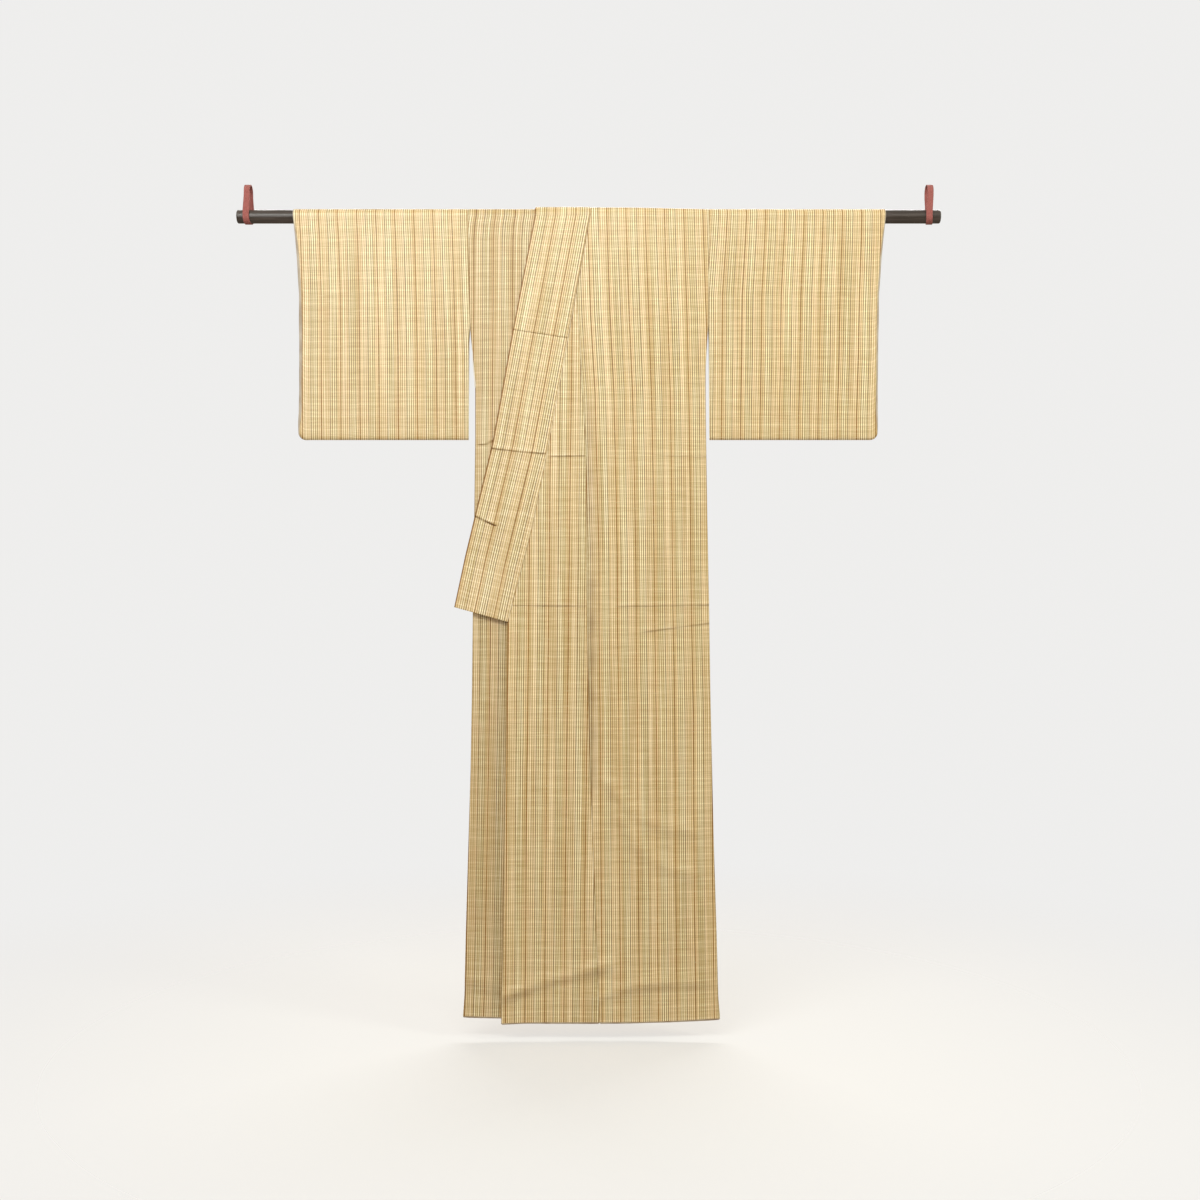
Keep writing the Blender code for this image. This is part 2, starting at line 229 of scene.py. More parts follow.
# Where each cut's rust stripes run: measured places of the real ones, smoothed and extended.
# okumi_right's are a guess
STRIPES = {
    "body_right": StripeLines(0, 2, table(
        "drop first last", (0, -223.0, -145.0), (18, -226.0, -148.0), (47, -228.0, -149.8),
        (157, -228.4, -151.0), (877, -233.6, -158.2), (1200, -238.5, -163.5),
        (1517, -245.0, -168.8), (1611, -248.0, -171.0))),
    "body_left": StripeLines(0, 5, table(
        "drop first last", (0, 226.8, 34.4), (47, 228.2, 36.0), (197, 233.6, 41.2),
        (357, 236.8, 49.0), (517, 238.8, 52.6), (677, 239.4, 55.6), (837, 242.2, 56.6),
        (997, 245.4, 59.0), (1317, 247.0, 60.4), (1611, 250.6, 63.0))),
    "sleeve_right": StripeLines(0, 8, table(
        "drop first last", (0, -577.0, -272.5), (47, -574.6, -271.0), (160, -572.6, -268.2),
        (280, -573.5, -264.9), (447, -572.6, -264.6))),
    "sleeve_left": StripeLines(1, 8, table(
        "drop first last", (0, 544.0, 275.5), (47, 543.6, 273.2), (160, 541.0, 266.4),
        (280, 539.4, 265.8), (400, 536.0, 264.8), (447, 535.6, 264.6))),
    "okumi_left": StripeLines(1, 3, table(
        "drop first last", (150, -112.0, -31.0), (877, -119.2, -39.6), (1100, -122.0, -42.6),
        (1611, -126.0, -48.5))),
    "okumi_right": StripeLines(1, 3, table(
        "drop first last", (150, 118.0, 37.0), (877, 126.0, 47.0), (1611, 133.0, 55.0))),
}


def ease(value: Array | float) -> Array:
    """A smooth step: 3 v squared less 2 v cubed, between 0 and 1."""
    value = np.clip(value, 0.0, 1.0)
    return value * value * (3 - 2 * value)


def linear(red: int, green: int, blue: int) -> tuple[float, float, float, float]:
    """A display colour as the linear colour that a shader takes, by the sRGB curve.

    Args:
        red: how red it is, from 0 to 255.
        green: how green.
        blue: how blue.

    Returns:
        The linear colour, opaque.
    """
    shares = np.array((red, green, blue)) / 255
    low, high = shares / 12.92, ((shares + 0.055) / 1.055) ** 2.4
    return (*(float(c) for c in np.where(shares <= 0.04045, low, high)), 1.0)


class Side(Enum):
    """The wearer's side of the garment."""

    RIGHT = "right"
    LEFT = "left"

    @property
    def sign(self) -> int:
        """Which way the side lies along X."""
        return -1 if self is Side.RIGHT else 1


class Press(Enum):
    """How a crease's section runs across its line."""

    SOFT = "soft"
    SHARP = "sharp"
    LIP = "lip"


# ---- Creases ----


def by_line(x: Array, drop: Array, start: tuple[float, float], end: tuple[float, float],
            fade: float) -> tuple[Array, Array, Array]:
    """Where each place lies by a line that runs out past both its ends.

    Args:
        x: places across the garment.
        drop: how far down they are.
        start: where the line starts, as x and drop.
        end: where it ends.
        fade: how far past its ends it runs out.

    Returns:
        The distance above the line, the share along it, and how full the line is there.
    """
    length = math.dist(start, end)
    run_x, run_drop = np.subtract(end, start) / length
    right, down = x - start[0], drop - start[1]
    along = right * run_x + down * run_drop
    ends = ease((along + fade) / fade) * ease((length + fade - along) / fade)
    return right * run_drop - down * run_x, np.clip(along / length, 0.0, 1.0), ends


@dataclass(frozen=True)
class Crease:
    """One crease, from start to end, each given as x and drop.

    A soft one is a bell across its line, a sharp one falls off straight from a keen line,
    and a lip bulges above the line and breaks off at it. width is how far it spreads,
    height how far it stands out, bow how far its middle bends upwards and fade how far its
    ends run out. The last two fields say how dark a shade is painted along the line, just
    below it where a fold's shadow falls, and over what width.
    """

    start: tuple[float, float]
    end: tuple[float, float]
    width: float
    height: float
    press: Press = Press.SOFT
    bow: float = 0.0
    fade: float = 14.0
    mark: float = 0.0
    shade_width: float = SHADE_WIDTH

    def seen_from(self, x: Array, drop: Array) -> tuple[Array, Array, Array]:
        """How far above the line each place is, its share of the line, and its strength.

        The strength swells and thins along the line by two sine waves, so that no two
        stretches match, and runs out past both ends.

        Args:
            x: places across the garment.
            drop: how far down they are.

        Returns:
            The distance above the line, the share along it and the strength.
        """
        above, share, ends = by_line(x, drop, self.start, self.end, self.fade)
        swell = 1 + sum(rise * np.sin(waves * share + offset)
                        for (rise, waves), offset in zip(SWELL, self.start))
        return above - 4 * self.bow * share * (1 - share), share, ends * swell

    def relief(self, x: Array, drop: Array) -> Array:
        """How far the crease lifts the cloth: its height through the section press names.

        Args:
            x: places across the garment.
            drop: how far down they are.

        Returns:
            The lift in millimetres.
        """
        above, _, strength = self.seen_from(x, drop)
        if self.press is Press.SOFT:
            section = np.exp(-(above / self.width) ** 2)
        elif self.press is Press.SHARP:
            section = np.exp(-np.abs(above) / self.width)
        else:
            section = ease((above + LIP_REACH) / (2 * LIP_REACH)) \
                * np.exp(-np.maximum(above, 0) / self.width)
        return self.height * section * strength

    def painted_shade(self, x: Array, drop: Array) -> Array:
        """Painted shade: a bell just below the line, where a fold's shadow falls, uneven along
        it.

        Args:
            x: places across the garment.
            drop: how far down they are.

        Returns:
            The darkness, from 0 to 1.
        """
        above, share, strength = self.seen_from(x, drop)
        rise, waves = SHADE_WAVE
        uneven = 1 - rise + rise * np.sin(waves * share + self.start[1])
        bell = np.exp(-((above + SHADE_BELOW) / self.shade_width) ** 2)
        return self.mark * strength * uneven * bell


def lift(creases: tuple[Crease, ...], x: Array, drop: Array) -> Array:
    """The sum of several creases, fading out over the rod."""
    flat = np.zeros(np.broadcast(x, drop).shape)
    return sum((crease.relief(x, drop) for crease in creases), flat) * ease(drop / ROD_FADE)


def painted_shades(creases: tuple[Crease, ...], x: Array, drop: Array) -> Array:
    """The darkest shade that any of the creases paints at each place."""
    flat = np.zeros(np.broadcast(x, drop).shape)
    return np.maximum.reduce([flat] + [c.painted_shade(x, drop) for c in creases if c.mark])


# The over front, from the front edge across the okumi to the left side
# Creases with a dark mark also paint shade along their line, and those of no height paint nothing
# but shade: the shadows below the hem's folds and the shaded band beside the okumi seam
OVER_CREASES = (
    Crease((-77, 482), (-9, 481), 9, 1.5, Press.LIP, fade=4, mark=0.6),
    Crease((-147, 780), (-7, 781), 7, 1.3, Press.LIP, fade=8, mark=0.42),
    Crease((63, 782), (239, 779), 8, 1.3, Press.LIP, mark=0.2, shade_width=2.8),
    Crease((126, 831), (239, 816), 7, 1.2, Press.LIP, fade=30, mark=0.25, shade_width=2.8),
    Crease((143, 481), (233, 481), 6, 0.8, Press.LIP, mark=0.18),
    Crease((17, 430), (26, 1010), 8, 2.0, fade=90),
    Crease((3, 400), (10, 1120), 8, 0.0, fade=60, mark=0.36, shade_width=8),
    Crease((46, 560), (49, 900), 9, 1.2, fade=90),
    Crease((-16, 620), (-14, 960), 7, 1.2, fade=90),
    Crease((-175, 1562), (30, 1501), 11, 5.2, bow=4, fade=34),
    Crease((-176, 1569), (20, 1509), 8, 0.0, bow=4, fade=30, mark=0.21, shade_width=9),
    Crease((30, 1558), (62, 1566), 8, 0.0, fade=14, mark=0.14, shade_width=7),
    Crease((12, 1564), (62, 1549), 7, 4.0),
    Crease((80, 1542), (200, 1534), 11, 4.8, bow=5, fade=40),
    Crease((76, 1551), (236, 1544), 8, 0.0, bow=5, fade=24, mark=0.14, shade_width=11),
    Crease((45, 1140), (190, 1226), 13, 4.5, bow=-22, fade=44),
    Crease((70, 1208), (195, 1312), 14, 4.2, bow=-24, fade=44),
    Crease((-140, 1060), (-40, 1190), 18, 2.0, bow=-14, fade=60),
    Crease((-128, 860), (-118, 1130), 14, -1.2, fade=80),
    Crease((175, 250), (182, 690), 16, -1.3, fade=90),
    Crease((112, 60), (104, 330), 14, 1.0, fade=60),
    Crease((-174, 1600), (261, 1594), 3.2, -0.45, Press.SHARP),
)
# The under front, which shows beside the over front and at the right chest
# Creases with a dark mark paint shade along their line too
UNDER_CREASES = (
    Crease((-220, 457), (-193, 449), 7, 1.3, Press.LIP, bow=-3, fade=4, mark=0.6),
    Crease((-246, 1549), (-176, 1560), 11, -2.2, fade=16, mark=0.12, shade_width=9),
    Crease((-236, 1530), (-176, 1536), 10, 2.0, fade=24),
    Crease((-206, 640), (-211, 1000), 11, -0.6, fade=60),
    Crease((-192, 60), (-197, 300), 13, 0.6, fade=60),
    Crease((-250, 1590), (180, 1592), 3.2, -0.45, Press.SHARP),
)
# The back, whose creases are like the front's and as uneven
# Creases with a dark mark paint shade along their line too
BACK_CREASES = (
    Crease((-210, 476), (-60, 481), 8, 1.0, Press.LIP, fade=10, mark=0.5),
    Crease((-30, 480), (215, 474), 4, -0.6, Press.SHARP, mark=0.15),
    Crease((-225, 784), (40, 779), 4, -0.7, Press.SHARP, mark=0.18),
    Crease((60, 812), (236, 826), 4, -0.6, Press.SHARP, mark=0.14),
    Crease((-120, 560), (-128, 980), 24, 0.8, fade=90),
    Crease((96, 620), (104, 1080), 26, -0.9, fade=90),
    Crease((190, 1180), (40, 1330), 24, 1.0, bow=18, fade=50),
    Crease((-60, 1220), (-215, 1400), 26, -0.9, bow=20, fade=50),
    Crease((-240, 1556), (-70, 1540), 13, -1.2, fade=20),
    Crease((60, 1548), (245, 1562), 13, -1.0, fade=20),
    Crease((-250, 1589), (261, 1589), 3.2, -0.45, Press.SHARP),
)
# Creases with a dark mark paint shade along their line, the darkest under the collar's fold
COLLAR_CREASES = (
    Crease((-194, 465), (-87, 476), 9, 1.5, Press.LIP, bow=-1.5, fade=4, mark=0.62),
    Crease((-231, 599), (-188, 619), 13, 2.3, Press.LIP, fade=3, mark=1.0),
    Crease((-188, 593), (-122, 590), 6, -0.6, fade=10),
    Crease((-120, 300), (-150, 420), 16, 0.4, fade=40),
    Crease((-216, 660), (-236, 770), 18, -0.6, fade=30),
)
SLEEVE_CREASES = {
    Side.RIGHT: (
        Crease((-560, 402), (-268, 397), 5, 0.5, Press.SHARP),
        Crease((-430, 90), (-446, 380), 22, 1.1, fade=70),
        Crease((-330, 60), (-318, 330), 20, -1.0, fade=70),
        Crease((-528, 120), (-520, 360), 20, -0.5, fade=60),
        Crease((-575, 431), (-245, 429), 4, -0.35, Press.SHARP),
    ),
    Side.LEFT: (
        Crease((335, 407), (540, 411), 8, -2.2, fade=24),
        Crease((420, 70), (432, 360), 22, -1.1, fade=70),
        Crease((530, 120), (522, 400), 12, -1.7, fade=70),
        Crease((505, 150), (500, 380), 12, 1.2, fade=70),
        Crease((300, 130), (296, 400), 20, 0.5, fade=60),
        Crease((245, 430), (575, 431), 4, -0.35, Press.SHARP),
    ),
}


# ---- The form that the cloth hangs in ----


def fold_height(folds: Table, x: Array, drop: Array) -> Array:
    """The sum of broad ridges, each a bell across its line that fades over its two ends.

    Args:
        folds: the ridges' table.
        x: places across the garment.
        drop: how far down they are.

    Returns:
        How far the cloth stands out.
    """
    total = np.zeros(np.broadcast(x, drop).shape)
    for x0, drop0, x1, drop1, width, height in zip(*folds.values()):
        above, _, ends = by_line(x, drop, (x0, drop0), (x1, drop1), FOLD_END)
        total += height * ends * np.exp(-(above / width) ** 2)
    return total


def sleeve_hollow(drop: Array | float, foot: float = SLEEVE_DROP) -> Array:
    """Half the hollow's depth in a sleeve, falling straight to the seam gap at its foot."""
    share = np.clip(1 - np.asarray(drop) / foot, 0.0, 1.0)
    return SEAM_HALF_GAP + (SEAT - SEAM_HALF_GAP) * share


def side_hollow(drop: Array) -> Array:
    """Half the hollow's depth at the body's side edge, closed below the side slit."""
    return np.interp(drop, (0, ARMHOLE_DROP, SLIT_DROP),
                     (SEAT, float(sleeve_hollow(ARMHOLE_DROP)), SEAM_HALF_GAP))


def lens(x: Array, drop: Array, folds: Table, step_in: float) -> Array:
    """Depth that is full at the middle and runs out to the sides by the cube of the share.

    Args:
        x: places across the garment.
        drop: how far down they are.
        folds: the broad folds on top.
        step_in: how much shallower the left side is.

    Returns:
        The depth from the rod's axis.
    """
    edge = np.where(x < 0, read(SIDES, "right", drop), read(SIDES, "left", drop))
    bend = np.clip(x / edge, 0.0, 1.0) ** SIDE_POWER
    side = side_hollow(drop) - step_in * (x > 0)
    middle = read(MIDDLE, "depth", drop)
    return middle + (side - middle) * bend + fold_height(folds, x, drop) * (1 - bend)


def front_hollow(x: Array, drop: Array) -> Array:
    """Depth of the hollow in front of the rod's axis, behind the right front."""
    return lens(x, drop, FRONT_FOLDS, OVER_STEP)


def back_hollow(x: Array, drop: Array) -> Array:
    """Depth of the hollow behind the rod's axis."""
    return lens(x, drop, BACK_FOLDS, 0.0)


def place(x: Array, drop: Array, angle: Array | float, front: Array, back: Array) -> Array:
    """Points at depth front, over the rod, and at depth back, as angle runs from 0 to pi.

    Args:
        x: places across the garment.
        drop: how far down they are.
        angle: how far over the rod they are.
        front: their depth before the rod's axis.
        back: their depth behind it.

    Returns:
        The points.
    """
    depth = front + (back - front) * angle / math.pi
    y, z = -depth * np.cos(angle), depth * np.sin(angle) - drop
    return np.stack(np.broadcast_arrays(x, y, z), axis=-1)


def stations(start: float, end: float, bands: tuple[tuple[float, float], ...] = ()) -> Array:
    """Drops about a row's pitch apart, and at the fine pitch within each band.

    Args:
        start: the first drop.
        end: the last drop.
        bands: low and high drops of the stretches that hold keen creases.

    Returns:
        The drops in order, with none closer together than half the fine pitch.
    """
    marks = [np.linspace(start, end, max(2, round((end - start) / ROW_PITCH) + 1))]
    marks += [np.arange(max(low, start), min(high, end), FINE_PITCH) for low, high in bands]
    drops = np.unique(np.concatenate(marks))
    drops = drops[np.diff(drops, prepend=-math.inf) > FINE_PITCH / 2]
    drops[-1] = end
    return drops


@dataclass(frozen=True)
class Run:
    """The rows of a grid: for each one its drop, its angle over the rod and its length."""

    drop: Array
    angle: Array
    length: Array

    @classmethod
    def over_rod(cls, front: Array, back: Array) -> Run:
        """Rows from a front foot up, over the rod and down to a back foot.

        Length is minus the drop at the front, then the arc, then the arc and the drop.

        Args:
            front: the front's drops from the rod down.
            back: the back's drops from the rod down.

        Returns:
            The rows as columns of one number each.
        """
        arc = np.linspace(0, math.pi, ARC_STEPS + 1)[1:-1]
        drop = np.concatenate([front[::-1], np.zeros(len(arc)), back])
        angle = np.concatenate([np.zeros(len(front)), arc, np.full(len(back), math.pi)])
        length = np.where(angle == 0, -drop, angle * SEAT + drop)
        return cls(drop[:, None], angle[:, None], length[:, None])

    @classmethod
    def front_only(cls, drops: Array) -> Run:
        """Rows that stay at the front, from the top down."""
        drop = drops[:, None]
        return cls(drop, np.zeros(drop.shape), -drop)

    @property
    def at_front(self) -> Array:
        """True for the rows that hang at the front."""
        return self.angle == 0


def shares(width: float, steps: int) -> Array:
    """Shares of a width from one edge to the other, set close at both for their turned edge.

    Args:
        width: a usual width in millimetres.
        steps: how many even steps lie between the two edges' close ones.

    Returns:
        One row of shares from 0 to 1.
    """
    edge = np.array(EDGE_STEPS) / width
    inner = np.linspace(edge[-1], 1 - edge[-1], steps + 1)[1:-1]
    return np.concatenate([edge, inner, 1 - edge[::-1]])[None, :]


def turned(distance: Array, depth: float, reach: float = TURN_REACH) -> Array:
    """How far the cloth dips as it turns in at an edge: a quarter round over reach."""
    inward = np.clip(1 - distance / reach, 0.0, 1.0)
    return depth * (1 - np.sqrt(1 - inward ** 2))


def edge_shade(distance: Array) -> Array:
    """How dark the shade painted along an edge or a seam is: a bell over its last two
    millimetres.
    """
    return EDGE_SHADE * np.exp(-(distance / EDGE_SHADE_REACH) ** 2)


def beside(*grids: Array, rows: int) -> Array:
    """Grids set side by side, each one given a row for every station."""
    return np.concatenate([np.broadcast_to(g, (rows, g.shape[1])) for g in grids], axis=1)


# ---- Meshes ----


def cells(number: Array) -> Array:
    """The four point numbers round each cell of a grid of point numbers."""
    return np.stack([number[:-1, :-1], number[:-1, 1:], number[1:, 1:], number[1:, :-1]], -1)


def faces_in(points: Array, quads: Array, outward: Array) -> bool:
    """Whether most quads face inwards, by the cross product of two of their sides.

    Args:
        points: the mesh's points.
        quads: four point numbers for each face.
        outward: for each face, a vector that points out.

    Returns:
        True if they have to be turned over.
    """
    first = points[quads[:, 0]]
    normal = np.cross(points[quads[:, 1]] - first, points[quads[:, 3]] - first)
    return bool((normal * outward).sum() < 0)


def run_along(line: Array) -> Array:
    """How far along a line of points each of them lies."""
    return np.cumsum(np.linalg.norm(np.diff(line, axis=0, prepend=line[:1]), axis=1))


def add_mesh(name: str, points: Array, faces: list, finishes: list[bpy.types.Material],
             cut: Array | None = None, press: Array | None = None) -> bpy.types.Object:
    """A smooth mesh object in the scene.

    Args:
        name: the piece's name.
        points: its points in millimetres.
        faces: the point numbers of each face.
        finishes: its materials.
        cut: for each point, its place on the flat cut in millimetres.
        press: for each point, how much shade is painted on the cloth there, from 0 to 1.

    Returns:
        The object, at the origin.
    """
    mesh = bpy.data.meshes.new(name)
    mesh.from_pydata((points * METRES).tolist(), [], faces)
    if cut is not None:
        corners = np.zeros(len(mesh.loops), np.int32)
        mesh.loops.foreach_get("vertex_index", corners)
        layer = mesh.uv_layers.new(name=CUT)
        layer.data.foreach_set("uv", (cut[corners] * METRES).ravel())
    # press carries painted shade along creases, seams and edges, which the silk reads
    if press is not None:
        marks = mesh.attributes.new(SHADE_ATTRIBUTE, "FLOAT", "POINT")
        marks.data.foreach_set("value", np.ascontiguousarray(press, np.float32).ravel())
    for finish in finishes:
        mesh.materials.append(finish)
    mesh.shade_smooth()
    mesh.update()
    item = bpy.data.objects.new(name, mesh)
    bpy.context.collection.objects.link(item)
    return item


def give_wall(item: bpy.types.Object, wall: float, lined: bool) -> None:
    """A wall on both sides of the mesh. Its inner face takes the lining, its rim the silk.

    Args:
        item: the piece.
        wall: how thick it gets.
        lined: whether it has a second finish for its inner face.
    """
    solid = item.modifiers.new("wall", "SOLIDIFY")
    solid.thickness, solid.offset = wall * METRES, 0
    solid.use_even_offset = solid.use_quality_normals = True
    solid.material_offset = int(lined)


@dataclass
class Cloth:
    """A grid of cloth: its points, their places on the flat cut, their painted shade, its cells.
    """

    points: Array
    cut: Array
    press: Array
    missing: Array | None = None
    closing: Array | None = None

    def build(self, name: str, wall: float, *finishes: bpy.types.Material) -> bpy.types.Object:
        """Make the piece, with its outer face turned away from the hollow.

        Args:
            name: the piece's name.
            wall: how thick the cloth is.
            finishes: the outer face's finish, and the lining's if the cloth is lined.

        Returns:
            The object.
        """
        rows, columns = self.points.shape[:2]
        quads = cells(np.arange(rows * columns).reshape(rows, columns))
        quads = quads.reshape(-1, 4) if self.missing is None else quads[~self.missing]
        if self.closing is not None:
            quads = np.concatenate([quads, self.closing])
        flat = self.points.reshape(-1, 3)
        if faces_in(flat, quads, flat[quads[:, 0]] * (0, 1, 0)):
            quads = quads[:, ::-1]
        used, numbers = np.unique(quads, return_inverse=True)
        item = add_mesh(name, flat[used], numbers.reshape(-1, 4).tolist(), list(finishes),
                        self.cut.reshape(-1, 2)[used], self.press.reshape(-1)[used])
        give_wall(item, wall, len(finishes) > 1)
        return item


def tube(name: str, line: Array, across: Array, out: Array, finish: bpy.types.Material,
         sides: int = 12) -> bpy.types.Object:
    """A closed roll along a line: an ellipse of the two half axes, carried from point to point.

    Args:
        name: the piece's name.
        line: the points down its middle.
        across: one half axis at each point.
        out: the other half axis at each point.
        finish: its material.
        sides: how many faces go round it.

    Returns:
        The object.
    """
    turn = np.linspace(0, 2 * math.pi, sides, endpoint=False)[None, :, None]
    points = line[:, None] + across[:, None] * np.cos(turn) + out[:, None] * np.sin(turn)
    number = np.arange(len(line) * sides).reshape(len(line), sides)
    quads = cells(np.concatenate([number, number[:, :1]], axis=1)).reshape(-1, 4)
    faces = quads.tolist() + [number[0, ::-1].tolist(), number[-1].tolist()]
    flat = points.reshape(-1, 3)
    if faces_in(flat, quads, flat[quads].mean(1) - np.repeat(line[:-1], sides, axis=0)):
        faces = [face[::-1] for face in faces]
    cut = np.broadcast_arrays(turn[..., 0] * CUT_ROUND, run_along(line)[:, None])
    return add_mesh(name, flat, faces, [finish], np.stack(cut, -1).reshape(-1, 2))


def tapered(count: int, ends: int = 3) -> Array:
    """1 along a line of that many points, rounding off to a tenth at its two ends."""
    near = np.minimum(np.arange(count), np.arange(count)[::-1]) / ends
    return (0.1 + 0.9 * np.sqrt(1 - (1 - np.clip(near, 0, 1)) ** 2))[:, None]


# ---- Shader maths ----


@dataclass(frozen=True)
class Wire:
    """A shader socket's value. Arithmetic on it adds Math nodes."""

    web: Web
    socket: bpy.types.NodeSocket

    def math(self, operation: str, *values: Wire | float) -> Wire:
        """The result of a Math node on these values."""
        return self.web.add("ShaderNodeMath", {"operation": operation}, dict(enumerate(values)))

    def __add__(self, other: Wire | float) -> Wire:
        """Self plus other."""
        return self.math("ADD", self, other)

    def __sub__(self, other: Wire | float) -> Wire:
        """Self less other."""
        return self.math("SUBTRACT", self, other)

    def __rsub__(self, other: float) -> Wire:
        """Other less self."""
        return self.math("SUBTRACT", other, self)

    def __mul__(self, other: Wire | float) -> Wire:
        """Self times other."""
        return self.math("MULTIPLY", self, other)

    def __truediv__(self, other: Wire | float) -> Wire:
        """Self over other."""
        return self.math("DIVIDE", self, other)

    __radd__ = __add__
    __rmul__ = __mul__

    def fraction(self) -> Wire:
        """What is left past the last whole number."""
        return self.math("FRACT", self)

    def step(self, low: float, high: float) -> Wire:
        """A smooth step from 0 at low to 1 at high."""
        return self.web.add("ShaderNodeMapRange", {"interpolation_type": "SMOOTHSTEP"},
                            {"Value": self, "From Min": low, "From Max": high})


class Web:
    """The nodes of one material, with one method that adds any node."""

    def __init__(self, name: str) -> None:
        """Make a material that holds its shader and its output alone.

        Args:
            name: the material's name.
        """
        self.material = bpy.data.materials.new(name)
        self.material.use_nodes = True
        self.tree = self.material.node_tree
        self.shader = self.tree.nodes["Principled BSDF"]

    def add(self, kind: str, settings: dict | None = None, values: dict | None = None,
            output: int | str = 0) -> Wire:
        """Add a node: its settings are set first, then its sockets.

        Args:
            kind: the node's type.
            settings: its own settings by name. stops lists a ramp's positions and colours,
                and blend says how it runs between them.
            values: numbers, colours or wires by socket.
            output: the socket that is handed back.

        Returns:
            The node's output.
        """
        node = self.tree.nodes.new(kind)
        for name, value in (settings or {}).items():
            if name == "stops":
                self._set_stops(node.color_ramp, value)
            elif name == "blend":
                node.color_ramp.interpolation = value
            else:
                setattr(node, name, value)
        self.connect(node, values or {})
        return Wire(self, node.outputs[output])

    def connect(self, node: bpy.types.Node, values: dict) -> None:
        """Put numbers on a node's sockets, and link the wires to theirs.

        Args:
            node: the node.
            values: numbers, colours or wires by socket.
        """
        for name, value in values.items():
            if isinstance(value, Wire):
                self.tree.links.new(value.socket, node.inputs[name])
            else:
                node.inputs[name].default_value = value

    @staticmethod
    def _set_stops(ramp: bpy.types.ColorRamp, stops: tuple) -> None:
        """Set a ramp's stops.

        Args:
            ramp: the ramp, with its first two stops.
            stops: a position and a colour for each stop.
        """
        for position, colour in stops[1:-1]:
            ramp.elements.new(position).color = colour
        for index in (0, len(stops) - 1):
            ramp.elements[index].position, ramp.elements[index].color = stops[index]

    def mix(self, factor: Wire | float, first: Wire | tuple, second: Wire | tuple,
            blend: str = "MIX") -> Wire:
        """Two colours mixed."""
        return self.add("ShaderNodeMix", {"data_type": "RGBA", "blend_type": blend},
                        {0: factor, 6: first, 7: second}, 2)

    def noise(self, place: Wire, scale: float = 1.0, detail: float = 2.0) -> Wire:
        """Soft noise around a half."""
        return self.add("ShaderNodeTexNoise", None,
                        {"Vector": place, "Scale": scale, "Detail": detail}, "Fac")

    def grain(self, cut: tuple[Wire, Wire], across: float, along: float, detail: int = 2,
              seed: float = 0.0) -> Wire:
        """Noise over the flat cut: how finely it runs across and along, to the metre."""
        place = {"X": cut[0] * across, "Y": cut[1] * along, "Z": seed}
        return self.noise(self.add("ShaderNodeCombineXYZ", None, place), detail=detail)

    def tinted(self, colour: Wire, *tints: tuple) -> Wire:
        """A colour with tints over it.

        Args:
            colour: the colour underneath.
            tints: for each one the noise that carries it, where it starts and is full, how
                strong it gets, and its colour.

        Returns:
            The colour with all of them.
        """
        for noise, start, full, strength, tint in tints:
            colour = self.mix(noise.step(start, full) * strength, colour, tint)
        return colour

    def cut_place(self) -> tuple[Wire, Wire]:
        """The place on a piece's flat cut.

        Returns:
            How far across and along it is, in metres.
        """
        place = self.add("ShaderNodeUVMap", {"uv_map": CUT})
        across = self.add("ShaderNodeSeparateXYZ", None, {"Vector": place})
        return across, Wire(self, across.socket.node.outputs["Y"])

    def object_place(self) -> Wire:
        """The place in the object's own frame, in metres."""
        return self.add("ShaderNodeTexCoord", output="Object")

    def bump(self, height: Wire, strength: float, distance: float) -> Wire:
        """A bumped normal."""
        return self.add("ShaderNodeBump", None,
                        {"Strength": strength, "Distance": distance, "Height": height})

    def finish(self, **values: Wire | float | tuple) -> bpy.types.Material:
        """Set the shader's sockets, whose names have _ for each space."""
        self.connect(self.shader, {name.replace("_", " "): v for name, v in values.items()})
        return self.material


# ---- Finishes ----

# The warp's repeat from one rust stripe to the next, fitted to measured averages of the real
# cloth: the ground between its nine thin lines, then the colour of each line and the share
# at which it takes over
RUST = linear(142, 96, 20)
DARK_OLIVE = linear(132, 86, 10)
OLIVE = linear(152, 107, 26)
THIN_OLIVE = linear(160, 116, 38)
FAINT = linear(190, 150, 84)
RUSSET = linear(188, 144, 78)
GROUND = linear(234, 211, 162)
PALE = linear(239, 219, 177)
BRIGHT = linear(240, 226, 183)
WARP_GROUND = (
    (0.000, GROUND), (0.120, PALE), (0.350, PALE), (0.400, GROUND), (0.470, BRIGHT),
    (0.720, BRIGHT), (0.800, GROUND), (0.890, PALE), (0.925, GROUND), (0.935, RUSSET),
    (0.990, RUSSET), (1.000, GROUND),
)
WARP_LINES = (
    (0.000, RUST), (0.031, FAINT), (0.142, FAINT), (0.253, FAINT), (0.364, DARK_OLIVE),
    (0.475, THIN_OLIVE), (0.586, THIN_OLIVE), (0.697, OLIVE), (0.808, FAINT), (0.919, RUST),
)
LINES_IN_REPEAT = 9
LINE_SHIFT = 0.725
# How finely each kind of thread runs across and along the cut, to the metre, how detailed
# its noise is, and what it adds to the cloth's seed
THREADS = {"warp": (430, 2.5, 1, 0), "weft": (24, 460, 2, 3), "yarn": (1150, 900, 1, 5),
           "slub": (22, 260, 2, 7), "tint": (30, 18, 2, 11)}
# The weft check's repeat, as a share between the darkest and the palest line, which began
# as a measured average too
WEFT = (
    (0.00, 1.00), (0.04, 0.66), (0.09, 0.45), (0.30, 0.44), (0.33, 0.55), (0.36, 0.92),
    (0.39, 0.54), (0.43, 0.40), (0.55, 0.30), (0.64, 0.34), (0.68, 0.60), (0.72, 0.38),
    (0.88, 0.46), (0.96, 0.64), (1.00, 1.00),
)


